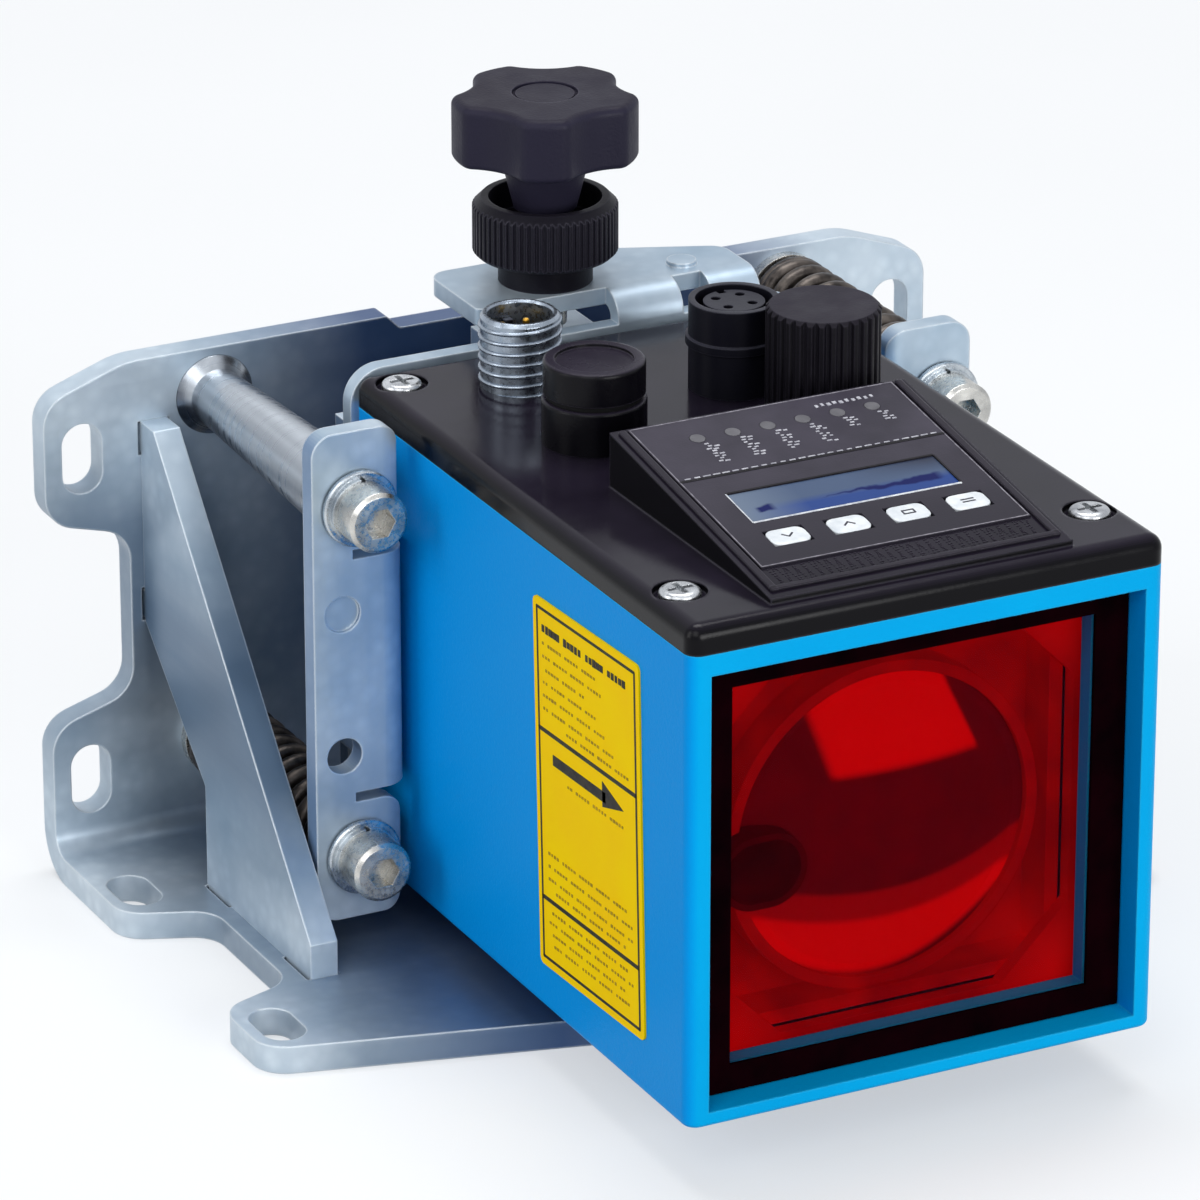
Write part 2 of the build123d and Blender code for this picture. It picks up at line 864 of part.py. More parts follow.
def device_legs():
    outer_r = tab_bend_r + device_t
    z_bend = tab_top_z - outer_r
    z0 = lid_top_z + device_top - 2 * device_corner_r
    legs = None
    starts = ((leg_gap_x, leg_a_w), (leg_gap_x + leg_a_w + leg_notch_w, leg_b_w))
    for x, width in starts:
        riser = block(x, x + width, housing_back_y, web_y, z0, z_bend)
        ring = Cylinder(outer_r, width) - Cylinder(tab_bend_r, width)
        ring = Pos(x + width / 2, housing_back_y + outer_r, z_bend) * Rot(0, 90, 0) * ring
        corner = block(x, x + width, housing_back_y, housing_back_y + outer_r, z_bend, tab_top_z)
        leg = riser + (ring & corner)
        legs = leg if legs is None else legs + leg
    return legs


def tab_plate():
    y0 = housing_back_y + tab_bend_r + device_t
    y1 = web_y + tab_back
    outline = rounded([
        ((tab_left_x, y0), tab_front_corner_r),
        ((tab_left_x, y1), tab_corner_r),
        ((tab_taper_x, y1), tab_taper_r),
        ((tab_right_x(), y1 - tab_taper), tab_corner_r),
        ((tab_right_x(), y0), 0),
    ])
    return Pos(0, 0, tab_top_z - device_t) * extrude(outline, device_t)


def device_plate():
    plate = device_panel() + device_legs() + tab_plate()
    plate -= post(bush_thread_r, 0, knob_y, tab_top_z - device_t - 1, tab_top_z + 1)
    plate += post(stud_r, stud_x, front_y + stud_back, tab_top_z - device_t, tab_top_z + stud_h)
    for x, z in rear_screw_places():
        plate -= rod(rear_screw_r, x, z, housing_back_y - 1, web_y + 1)
        plate -= Pos(x, web_y - rear_head_h / 2, z) * Rot(90, 0, 0) * Cone(
            rear_head_r, rear_screw_r, rear_head_h)
    return plate


def rear_screw_places():
    rows = (rear_screw_low_z, rear_screw_low_z + rear_screw_pitch)
    return [(x, z) for x in (-rear_screw_x, rear_screw_x) for z in rows]


def rear_screws():
    screws = []
    for x, z in rear_screw_places():
        head = Pos(x, web_y - rear_head_h / 2, z) * Rot(90, 0, 0) * Cone(
            rear_head_r, rear_screw_r, rear_head_h)
        shank = rod(rear_screw_r, x, z, housing_back_y - rear_screw_len, web_y - rear_head_h)
        w = rear_cross_w / 2
        l = rear_cross_l / 2
        y0 = web_y - rear_cross_depth
        cross = block(x - w, x + w, y0, web_y + 1, z - l, z + l)
        cross += block(x - l, x + l, y0, web_y + 1, z - w, z + w)
        screws.append(head + shank - cross)
    return Compound(children=screws)


# Housing: open-topped casting with the recessed window seat in front
def housing_bosses():
    bosses = []
    for x, z in rear_screw_places():
        y0 = housing_back_y - rear_screw_len - boss_end_t
        bosses.append(rod(rear_screw_r + rear_boss_w, x, z, y0, housing_back_y - 1))
    for x, y in lid_screw_places():
        z0 = housing_top_z - lid_boss_h
        bosses.append(post(lid_screw_r + lid_boss_w, x, y, z0, housing_top_z - gasket_t))
    return bosses


def housing():
    half = housing_w / 2
    shell = block(-half, half, front_y, housing_back_y, housing_z, housing_top_z)
    shell = fillet(shell.edges().filter_by(Axis.Z), housing_corner_r)
    shell = fillet(shell.faces().sort_by(Axis.Z)[0].edges(), housing_edge_r)
    wall = housing_wall
    inside = block(-half + wall, half - wall, optics_y, housing_back_y - wall,
                   housing_z + wall, housing_top_z + 1)
    shell -= inside
    for boss in housing_bosses():
        shell += boss & block(-half + 1, half - 1, front_y + 1, housing_back_y - 1,
                              housing_z + 1, housing_top_z - gasket_t)
    opening = block(-half + frame_w, half - frame_w, front_y - 1, recess_floor_y,
                    housing_z + frame_bottom_w, housing_top_z - frame_w)
    shell -= opening
    a = aperture_half
    shell -= block(-a, a, front_y, optics_y + 1, window_z - a, window_z + a)
    for x, z in rear_screw_places():
        shell -= rod(rear_screw_r, x, z, housing_back_y - rear_screw_len, housing_back_y + 1)
    for x, y in lid_screw_places():
        shell -= post(lid_screw_r, x, y, housing_top_z - lid_screw_reach - lid_bore_spare, housing_top_z + 1)
    shell -= post(vent_stem_r, vent_x, front_y + vent_back, housing_z - 1, housing_z + wall + 1)
    ledge = half - wall + gasket_w
    shell -= block(-ledge, ledge, optics_y - gasket_w, housing_back_y - wall + gasket_w,
                   housing_top_z - gasket_t, housing_top_z + 1)
    return shell


# Window: dark bezel frame and the red filter pane
def window_pane():
    w = pane_half_w
    h = pane_half_h
    y1 = recess_floor_y
    pane = block(-w, w, y1 - pane_t, y1, window_z - h, window_z + h)
    return fillet(pane.edges().filter_by(Axis.Y), pane_corner_r)


def window_bezel():
    y1 = recess_floor_y - pane_t
    w = pane_half_w
    h = pane_half_h
    i = bezel_inner_half
    frame = block(-w, w, y1 - bezel_t, y1, window_z - h, window_z + h)
    return frame - block(-i, i, y1 - bezel_t - 1, y1 + 1, window_z - i, window_z + i)


# Optics behind the window
def octagon(half, cut):
    return make_face(Polyline(
        (half, half - cut), (half - cut, half), (cut - half, half), (-half, half - cut),
        (-half, cut - half), (cut - half, -half), (half - cut, -half), (half, cut - half),
        close=True))


def receiver_z():
    return window_z - receiver_drop


def lens_barrel():
    z = receiver_z()
    y0 = optics_y + barrel_front_gap
    y1 = optics_y + lens_box_depth
    lens_back = optics_y + receiver_y + receiver_edge_t
    barrel = rod(receiver_r + barrel_wall, 0, z, y0, y1)
    barrel -= rod(receiver_r, 0, z, y0 - 1, lens_back)
    return barrel - rod(receiver_r - lens_lip, 0, z, y0 - 1, y1 + 1)


def lens_frame():
    h = lens_frame_half
    w = lens_box_wall
    y0 = optics_y
    y1 = y0 + lens_frame_t
    y2 = y0 + lens_box_depth
    front = block(-h, h, y0, y1, window_z - h, window_z + h)
    front -= back_prism(Pos(0, window_z) * octagon(octagon_half, octagon_chamfer), y0 - 1, y1 + 1)
    b = h - lens_box_in
    box = block(-b, b, y1, y2, window_z - b, window_z + b)
    box -= block(-b + w, b - w, y1 - 1, y2 - w, window_z - b + w, window_z + b - w)
    box -= rod(receiver_r, 0, receiver_z(), y1, y2 + 1)
    body = front + box + lens_barrel()
    body -= emitter_prism(emitter_r, y0 - 1, y2 + 1)
    for x, y in lid_screw_places():
        z0 = housing_top_z - lid_boss_h - boss_clear
        body -= post(lid_screw_r + lid_boss_w + boss_clear, x, y, z0, housing_top_z)
    return body


def receiver_lens():
    y0 = optics_y + receiver_y
    z = receiver_z()
    edge = rod(receiver_r, 0, z, y0, y0 + receiver_edge_t)
    crown_edge_r = receiver_r - receiver_rim
    depth = math.sqrt(receiver_crown_r ** 2 - crown_edge_r ** 2)
    crown = Pos(0, y0 + depth, z) * Sphere(receiver_crown_r)
    crown = crown & rod(crown_edge_r, 0, z, y0 - 9, y0 + crown_sink)
    return edge + crown - emitter_prism(emitter_r + emitter_clear, y0 - 9, y0 + 9)


def stadium(radius, reach):
    return make_hull(Circle(radius).edges() + (Pos(-reach, 0) * Circle(radius)).edges())


def emitter_prism(radius, y0, y1):
    shape = Pos(emitter_x, window_z - emitter_drop) * stadium(radius, emitter_reach)
    return back_prism(shape, y0, y1)


def emitter_tube():
    y0 = optics_y + emitter_front_gap
    y1 = laser_y()
    return emitter_prism(emitter_r, y0, y1) - emitter_prism(emitter_r - emitter_wall, y0 - 1, y1 + 1)


def emitter_lens():
    y1 = laser_y()
    return emitter_prism(emitter_r - emitter_wall, y1 - emitter_lens_t, y1)


def laser_y():
    return optics_y + receiver_y + receiver_edge_t + laser_gap


def laser_module():
    y0 = laser_y()
    x = emitter_x - emitter_reach / 2
    z = window_z - emitter_drop
    body = rod(laser_r, x, z, y0, y0 + laser_len)
    body += emitter_prism(emitter_r, y0, y0 + laser_face_t)
    flange = rod(laser_r + laser_flange_w, x, z, y0 + laser_len - laser_flange_t, y0 + laser_len)
    return body + flange


def optics_carrier():
    y0 = laser_y() + laser_len
    half = housing_w / 2 - housing_wall - board_clear
    z0 = housing_z + housing_wall
    z1 = housing_top_z - main_board_drop - carrier_top_gap
    wall_plate = block(-half, half, y0, y0 + carrier_t, z0, z1)
    foot_half = half - carrier_foot_inset
    foot = block(-foot_half, foot_half, y0, y0 + carrier_foot_l, z0, z0 + carrier_t)
    light_hole = rod(detector_r + light_hole_w, 0, receiver_z(), y0 - 1, y0 + carrier_t + 1)
    return wall_plate + foot - light_hole


def detector_board():
    y0 = laser_y() + laser_len + carrier_t
    half = housing_w / 2 - housing_wall - detector_inset
    z = receiver_z()
    board = block(-half, half, y0, y0 + detector_board_t, z - detector_half_h, z + detector_half_h)
    chip = block(-detector_r, detector_r, y0 - detector_chip_t, y0, z - detector_r, z + detector_r)
    return board + chip


def main_board():
    half = housing_w / 2 - housing_wall - main_board_inset
    z1 = housing_top_z - main_board_drop
    y0 = laser_y() + laser_len + main_board_gap
    y1 = housing_back_y - housing_wall - main_board_gap
    middle = (y0 + y1) / 2
    board = block(-half, half, y0, y1, z1 - main_board_t, z1)
    chips = block(-chip_l, 0, middle - chip_l / 2, middle + chip_l / 2, z1, z1 + chip_t)
    chips += block(chip_l / 2, chip_l, middle - chip_l / 4, middle + chip_l / 4, z1, z1 + chip_t)
    legs = None
    for x in (-half + standoff_inset, half - standoff_inset):
        leg = post(standoff_r, x, (y0 + y1) / 2, housing_z + housing_wall, z1 - main_board_t)
        legs = leg if legs is None else legs + leg
    return board + chips, legs


# Lid: moulded cover with the sloping control panel
def lid_screw_places():
    rows = (front_y + lid_screw_front, front_y + lid_screw_rear)
    return [(x, y) for x in (-lid_screw_x, lid_screw_x) for y in rows]


def slope(x, run, height):
    place = Pos(x, front_y + wedge_front, lid_top_z + wedge_front_h) * Rot(wedge_angle, 0, 0)
    return place * Pos(0, run, height)


def slope_block(x0, x1, s0, s1, h0, h1):
    return slope((x0 + x1) / 2, (s0 + s1) / 2, (h0 + h1) / 2) * Box(x1 - x0, s1 - s0, h1 - h0)


def wedge():
    y0 = front_y + wedge_front
    y1 = y0 + wedge_len
    z = lid_top_z
    outline = [(y0, z - 1), (y0, z + wedge_front_h), (y1, z + wedge_rear_h), (y1, z - 1)]
    return prism_x(outline, -wedge_half_w, wedge_half_w)


def key_places():
    return [key_offset_x + (i - (key_count - 1) / 2) * key_pitch for i in range(key_count)]


def led_places():
    return [led_offset_x + (i - (led_count - 1) / 2) * led_pitch for i in range(led_count)]


def panel_hollow():
    half = wedge_half_w - lid_wall
    return slope_block(-half, half, hollow_start, wedge_len - lid_wall, -hollow_depth, -roof_t)


def connector_places():
    return [
        (plug_x, front_y + plug_back, m12_r),
        (socket_x, front_y + socket_back, socket_r),
        (capped_x, front_y + capped_back, capped_r),
        (fluted_x, front_y + fluted_back, fluted_plug_r),
    ]


def lid():
    half = housing_w / 2
    cover = block(-half, half, front_y, housing_back_y, housing_top_z, lid_top_z)
    cover = fillet(cover.edges().filter_by(Axis.Z), housing_corner_r)
    cover = fillet(cover.faces().sort_by(Axis.Z)[-1].edges(), lid_edge_r)
    cover += wedge()
    cover -= panel_hollow()
    cover -= slope_block(-overlay_half_w, overlay_half_w, overlay_start, overlay_end, -overlay_t / 2, 5)
    cover -= slope_block(-lcd_half_w, lcd_half_w, lcd_start, lcd_end, -lcd_t - 1, 1)
    for x in key_places():
        w = key_w / 2 + key_hole_clear
        l = key_l / 2 + key_hole_clear
        cover -= slope_block(x - w, x + w, key_row - l, key_row + l, -8, 1)
    for x in led_places():
        cover -= slope(x, led_row, 0) * Cylinder(led_r + led_clear, 8)
    for x, y, r in connector_places():
        cover -= post(r - stem_step + stem_clear, x, y, housing_top_z - 1, lid_top_z + 1)
    for x, y in lid_screw_places():
        cover -= post(lid_scoop_r, x, y, lid_top_z - lid_scoop_depth, lid_top_z + 2)
        cover -= post(lid_screw_r + lid_hole_clear, x, y, housing_top_z - 1, lid_top_z)
    return cover


def lid_gasket():
    reach = gasket_w - gasket_clear
    half = housing_w / 2 - housing_wall + reach
    y0 = optics_y - reach
    y1 = housing_back_y - housing_wall + reach
    z0 = housing_top_z - gasket_t
    ring = block(-half, half, y0, y1, z0, housing_top_z)
    w = gasket_w
    ring -= block(-half + w, half - w, y0 + w, y1 - w, z0 - 1, housing_top_z + 1)
    for x, y in lid_screw_places():
        ring += post(lid_screw_r + gasket_eye_w, x, y, z0, housing_top_z)
    for x, y in lid_screw_places():
        ring -= post(lid_screw_r + gasket_eye_clear, x, y, z0 - 1, housing_top_z + 1)
    return ring


def lid_screws():
    screws = []
    z = lid_top_z - lid_scoop_depth
    for x, y in lid_screw_places():
        head = post(lid_head_r, x, y, z, z + lid_head_h)
        head = fillet(head.edges().sort_by(Axis.Z)[-1], lid_head_round)
        shank = post(lid_screw_r, x, y, housing_top_z - lid_screw_reach, z)
        w = lid_cross_w / 2
        l = lid_cross_l / 2
        z0 = z + lid_cross_floor
        z1 = z + lid_head_h + 1
        cross = block(x - w, x + w, y - l, y + l, z0, z1)
        cross += block(x - l, x + l, y - w, y + w, z0, z1)
        screws.append(head + shank - cross)
    return Compound(children=screws)


# Control panel: printed overlay, display, keys and indicator lights
def panel_overlay():
    half = overlay_half_w - overlay_clear
    sheet = slope_block(-half, half, overlay_start + overlay_clear, overlay_end - overlay_clear,
                        -overlay_t / 2, overlay_t / 2)
    sheet -= slope_block(-lcd_half_w, lcd_half_w, lcd_start, lcd_end, -5, 5)
    for x in key_places():
        w = key_w / 2 + key_clear
        l = key_l / 2 + key_clear
        sheet -= slope_block(x - w, x + w, key_row - l, key_row + l, -5, 5)
    for x in led_places():
        sheet -= slope(x, led_row, 0) * Cylinder(led_r + led_clear, 8)
    return sheet


def display():
    half = lcd_half_w - lcd_clear
    return slope_block(-half, half, lcd_start + lcd_clear, lcd_end - lcd_clear, -lcd_t, lcd_proud)


def key(x):
    cap = slope_block(x - key_w / 2, x + key_w / 2, key_row - key_l / 2, key_row + key_l / 2,
                      key_travel + key_stop_gap - roof_t, key_proud)
    return fillet(cap.edges(), key_edge_r)


def lights():
    height = roof_t + led_proud
    middle = led_proud - height / 2
    lenses = [slope(x, led_row, middle) * Cylinder(led_r, height) for x in led_places()]
    return Compound(children=lenses)


def panel_board():
    half = wedge_half_w - lid_wall - board_clear
    s0 = hollow_start + panel_board_inset
    s1 = wedge_len - lid_wall - panel_board_inset
    return slope_block(-half, half, s0, s1, -roof_t - panel_board_t, -roof_t)


# Round connectors
def power_plug():
    x = plug_x
    y = front_y + plug_back
    z = lid_top_z
    shell = post(m12_r, x, y, z, z + m12_height)
    flange = post(m12_flange_r, x, y, z, z + m12_flange_h)
    flange = chamfer(flange.edges().sort_by(Axis.Z)[-1], m12_flange_chamfer)
    stem = post(m12_r - stem_step, x, y, housing_top_z, z)
    return shell + flange + stem - post(m12_bore_r, x, y, housing_top_z - 1, z + m12_height + 1)


def power_insert():
    x = plug_x
    y = front_y + plug_back
    z0 = housing_top_z
    z1 = lid_top_z + insert_h
    w = key_rib_w / 2
    body = post(insert_r, x, y, z0, z1)
    key_rib = block(x - w, x + w, y + insert_r - key_rib_h, y + insert_r, z1, z1 + key_rib_l)
    body += key_rib & post(insert_r, x, y, z0, z1 + key_rib_l)
    for px, py in pin_places(x, y):
        body -= post(pin_r, px, py, z0 + 1, z1 + 1)
    return body


def pin_places(x, y):
    step = 2 * math.pi / pin_count
    turn = step / 2
    return [(x + pin_circle_r * math.cos(turn + i * step), y + pin_circle_r * math.sin(turn + i * step))
            for i in range(pin_count)]


def power_pins():
    x = plug_x
    y = front_y + plug_back
    pins = []
    for px, py in pin_places(x, y):
        pin = post(pin_r, px, py, housing_top_z + 1, lid_top_z + insert_h + pin_h)
        pins.append(fillet(pin.edges().sort_by(Axis.Z)[-1], pin_tip_r))
    return Compound(children=pins)


def data_socket():
    x = socket_x
    y = front_y + socket_back
    z = lid_top_z
    shell = post(socket_r, x, y, z, z + socket_height)
    collar_z = z + socket_height - ring_drop - ring_h
    shell += post(socket_r + ring_proud, x, y, collar_z, collar_z + ring_h)
    shell += post(socket_r - stem_step, x, y, housing_top_z, z)
    shell -= post(socket_bore_r, x, y, z + socket_floor_t, z + socket_height + 1)
    return shell - post(socket_wire_r, x, y, housing_top_z - 1, z + socket_floor_t + 1)


def data_insert():
    x = socket_x
    y = front_y + socket_back
    z = lid_top_z + socket_floor_t
    top = lid_top_z + socket_insert_h
    w = key_rib_w / 2
    body = post(socket_insert_r, x, y, z, top)
    y0 = y + socket_insert_r - key_rib_h
    body -= block(x - w, x + w, y0, y + socket_insert_r + 1, top - key_slot_l, top + 1)
    for px, py in pin_places(x, y):
        body -= post(contact_r, px, py, top - contact_depth, top + 1)
    return body


def port_inserts():
    bodies = []
    z0 = housing_top_z + port_insert_drop
    z1 = z0 + port_insert_h
    for x, back in ((capped_x, capped_back), (fluted_x, fluted_back)):
        y = front_y + back
        body = post(port_insert_r, x, y, z0, z1)
        for px, py in pin_places(x, y):
            body -= post(contact_r, px, py, z1 - port_contact_depth, z1 + 1)
        bodies.append(body)
    return Compound(children=bodies)


def capped_socket():
    x = capped_x
    y = front_y + capped_back
    z = lid_top_z
    shell = post(capped_r, x, y, z, z + capped_height)
    shell = fillet(shell.edges().sort_by(Axis.Z)[-1], capped_edge_r)
    shell += post(capped_r - stem_step, x, y, housing_top_z, z)
    shell -= post(port_insert_r, x, y, housing_top_z + port_insert_drop, z + socket_floor_t)
    return shell - post(socket_bore_r, x, y, z + socket_floor_t, z + capped_height + 1)


def socket_cap():
    x = capped_x
    y = front_y + capped_back
    z = lid_top_z + capped_height + seal_t
    head = post(cap_r, x, y, z, z + cap_head_h)
    head = fillet(head.edges().sort_by(Axis.Z)[-1], cap_edge_r)
    dish = post(cap_r - cap_rim_w, x, y, z + cap_head_h - cap_dish_depth, z + cap_head_h + 1)
    shank = post(cap_shank_r, x, y, z - seal_t - cap_shank_len, z)
    return head + shank - dish


def cap_seal():
    x = capped_x
    y = front_y + capped_back
    z = lid_top_z + capped_height
    ring = post(cap_shank_r + seal_w, x, y, z, z + seal_t)
    return ring - post(cap_shank_r + running_clear, x, y, z - 1, z + seal_t + 1)


def fluted_plug():
    x = fluted_x
    y = front_y + fluted_back
    z = lid_top_z
    shell = post(fluted_plug_r, x, y, z, z + fluted_plug_h)
    shell += post(fluted_plug_r - stem_step, x, y, housing_top_z, z)
    shell -= post(port_insert_r, x, y, housing_top_z + port_insert_drop, z + socket_floor_t)
    return shell - post(m12_bore_r, x, y, z + socket_floor_t, z + fluted_plug_h + 1)


def fluted_cap():
    x = fluted_x
    y = front_y + fluted_back
    z0 = lid_top_z + fluted_foot_gap
    z1 = z0 + fluted_height
    cap = post(fluted_r, x, y, z0, z1)
    cap = chamfer(cap.edges().sort_by(Axis.Z)[-1], fluted_chamfer)
    cap &= ribbed(fluted_r + 0.01, flute_depth, flute_count, x, y, z0, z1)
    roof = lid_top_z + fluted_plug_h + fluted_seal_t + 2 * seal_gap
    return cap - post(fluted_plug_r + running_clear, x, y, z0 - 1, roof)


def fluted_seal():
    x = fluted_x
    y = front_y + fluted_back
    z = lid_top_z + fluted_plug_h + seal_gap
    ring = post(fluted_plug_r - fluted_seal_clear, x, y, z, z + fluted_seal_t)
    return ring - post(m12_bore_r, x, y, z - 1, z + fluted_seal_t + 1)


# Clamp knob stack on the tab
def threaded_bush():
    z = tab_top_z
    collar = post(bush_r, 0, knob_y, z, z + bush_h)
    thread = post(bush_thread_r, 0, knob_y, z - device_t, z + bush_h + bush_thread_h)
    return collar + thread - post(spindle_r + running_clear, 0, knob_y, z - device_t - 1,
                                   z + bush_h + bush_thread_h + 1)


def lock_ring():
    z0 = tab_top_z + bush_h + ring_bottom_gap
    z1 = z0 + lock_ring_h
    ring = post(ring_r, 0, knob_y, z0, z1)
    ring = chamfer(ring.edges().sort_by(Axis.Z)[-1], ring_chamfer)
    ring = chamfer(ring.edges().sort_by(Axis.Z)[0], ring_chamfer / 2)
    ring -= post(bush_thread_r + running_clear, 0, knob_y, z0 - 1, z1)
    ring -= post(ring_hollow_r, 0, knob_y, z1 - ring_hollow_depth, z1 + 1)
    return ring & ribbed(ring_r + 0.01, knurl_depth, knurl_count, 0, knob_y, z0, z1)


def star_knob():
    z0 = tab_top_z + knob_rise
    z1 = z0 + knob_h
    star = Circle(knob_r)
    for i in range(knob_lobes):
        star -= Rot(0, 0, lobe_turn + 360 * i / knob_lobes) * Pos(lobe_cut_x, 0) * Circle(lobe_cut_r)
    star = fillet(star.vertices(), lobe_round_r)
    body = Pos(0, knob_y, z0) * extrude(star, knob_h)
    body = fillet(body.faces().sort_by(Axis.Z)[-1].edges(), knob_edge_r)
    body = fillet(body.faces().sort_by(Axis.Z)[0].edges(), knob_foot_r)
    body -= post(knob_badge_r + knob_groove_w, 0, knob_y, z1 - knob_groove_depth, z1 + 1)
    body += post(knob_badge_r, 0, knob_y, z1 - knob_groove_depth, z1 - knob_badge_drop)
    neck = Pos(0, knob_y, z0 - neck_h / 2) * Cone(neck_tip_r, neck_r, neck_h)
    neck -= post(spindle_r, 0, knob_y, z0 - neck_h - 1, z0)
    return body + neck


def knob_spindle():
    z1 = tab_top_z + knob_rise
    z0 = lug_top_z + tip_reach
    shaft = post(spindle_r, 0, knob_y, z0, z1)
    tip = post(spindle_tip_r, 0, knob_y, lug_top_z - tip_reach, z0)
    tip = chamfer(tip.edges().sort_by(Axis.Z)[0], spindle_tip_chamfer)
    return shaft + tip


def spindle_seal():
    z0 = tab_top_z + bush_h + bush_thread_h + spindle_seal_gap
    ring = post(spindle_r + spindle_seal_w, 0, knob_y, z0, z0 + spindle_seal_t)
    return ring - post(spindle_r + running_clear, 0, knob_y, z0 - 1, z0 + spindle_seal_t + 1)


# Vent plug, screwed into the housing's floor
def vent_plug():
    y = front_y + vent_back
    head = post(vent_r, vent_x, y, housing_z - vent_h, housing_z)
    head = fillet(head.edges().sort_by(Axis.Z)[0], vent_edge_r)
    return head + post(vent_stem_r, vent_x, y, housing_z, housing_z + housing_wall)


# Label plate, set slightly askew on the left side
def label_plate():
    half = housing_w / 2
    plate = Box(label_t, label_l, label_h)
    plate = fillet(plate.edges().filter_by(Axis.X), label_corner_r)
    y = front_y + label_front + label_l / 2
    z = housing_top_z - label_top_drop - label_h / 2
    return Pos(-half - label_t / 2, y, z) * Rot(-label_tilt, 0, 0) * plate


def all_parts():
    board, legs = main_board()
    parts = {
        "mounting_bracket": mounting_bracket(),
        "gusset_left": gusset(-1),
        "gusset_right": gusset(1),
        "pivot_post": pivot_post(),
        "pivot_ball": pivot_ball(),
        "pivot_screw": pivot_screw(),
        "pivot_washer": pivot_washer(),
        "yaw_screw": adjusting_screw(yaw_screw_x, pivot_z),
        "yaw_washer": adjusting_washer(yaw_screw_x, pivot_z),
        "yaw_nut": clinch_nut(yaw_screw_x, pivot_z),
        "yaw_spring": spring(yaw_screw_x, pivot_z),
        "pitch_screw": adjusting_screw(-pivot_x, pitch_z),
        "pitch_washer": adjusting_washer(-pivot_x, pitch_z),
        "pitch_nut": clinch_nut(-pivot_x, pitch_z),
        "pitch_spring": spring(-pivot_x, pitch_z),
        "alignment_cradle": alignment_cradle(),
        "device_plate": device_plate(),
        "rear_screws": rear_screws(),
        "housing": housing(),
        "window_pane": window_pane(),
        "window_bezel": window_bezel(),
        "lens_frame": lens_frame(),
        "receiver_lens": receiver_lens(),
        "emitter_tube": emitter_tube(),
        "emitter_lens": emitter_lens(),
        "laser_module": laser_module(),
        "optics_carrier": optics_carrier(),
        "detector_board": detector_board(),
        "main_board": board,
        "board_posts": legs,
        "lid": lid(),
        "lid_gasket": lid_gasket(),
        "lid_screws": lid_screws(),
        "panel_overlay": panel_overlay(),
        "display": display(),
        "indicator_lights": lights(),
        "panel_board": panel_board(),
        "power_plug": power_plug(),
        "power_insert": power_insert(),
        "power_pins": power_pins(),
        "data_socket": data_socket(),
        "data_insert": data_insert(),
        "capped_socket": capped_socket(),
        "port_inserts": port_inserts(),
        "socket_cap": socket_cap(),
        "cap_seal": cap_seal(),
        "fluted_plug": fluted_plug(),
        "fluted_cap": fluted_cap(),
        "fluted_seal": fluted_seal(),
        "threaded_bush": threaded_bush(),
        "lock_ring": lock_ring(),
        "star_knob": star_knob(),
        "knob_spindle": knob_spindle(),
        "spindle_seal": spindle_seal(),
        "vent_plug": vent_plug(),
        "label_plate": label_plate(),
    }
    for name, x in zip(("key_down", "key_up", "key_enter", "key_back"), key_places()):
        parts[name] = key(x)
    return parts


os.makedirs("parts", exist_ok=True)
for name, shape in all_parts().items():
    shape.label = name
    export_step(shape, f"parts/{name}.step")
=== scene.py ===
import math

import bmesh
import bpy
from mathutils import Matrix, Vector


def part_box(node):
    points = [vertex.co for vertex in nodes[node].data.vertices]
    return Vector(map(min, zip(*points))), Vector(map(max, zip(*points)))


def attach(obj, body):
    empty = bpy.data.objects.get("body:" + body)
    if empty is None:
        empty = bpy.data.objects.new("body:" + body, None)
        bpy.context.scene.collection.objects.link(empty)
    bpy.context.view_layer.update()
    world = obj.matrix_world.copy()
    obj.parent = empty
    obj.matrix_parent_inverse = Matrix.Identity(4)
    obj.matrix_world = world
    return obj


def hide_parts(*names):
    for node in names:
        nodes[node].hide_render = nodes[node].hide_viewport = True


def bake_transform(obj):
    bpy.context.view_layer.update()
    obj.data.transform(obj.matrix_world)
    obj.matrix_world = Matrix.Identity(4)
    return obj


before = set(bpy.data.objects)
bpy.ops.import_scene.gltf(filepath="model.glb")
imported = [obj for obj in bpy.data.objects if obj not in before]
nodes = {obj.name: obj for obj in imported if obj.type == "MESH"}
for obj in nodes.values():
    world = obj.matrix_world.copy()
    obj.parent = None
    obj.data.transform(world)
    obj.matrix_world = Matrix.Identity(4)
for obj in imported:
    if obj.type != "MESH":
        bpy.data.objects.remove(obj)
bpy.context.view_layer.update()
MM = 0.001


# Bracket, gussets, cradle and device plate: laser-cut steel sheet, folded and then zinc plated.
# The plating is pale and clouded, brushed along the sheet and brighter at its cut edges.
# Painted shade makes it dull and blue behind the sensor, where the sheets stand close together, and darker on
# the bracket's left ear and floor, across the gussets and low on the cradle. The cradle's faces that look
# left get a painted blue shade.

# Colours are given as the 0-255 values seen on a screen
def tone(red, green, blue):
    linear = []
    for value in (red, green, blue):
        c = value / 255
        linear.append(c / 12.92 if c <= 0.04045 else ((c + 0.055) / 1.055) ** 2.4)
    return (*linear, 1.0)


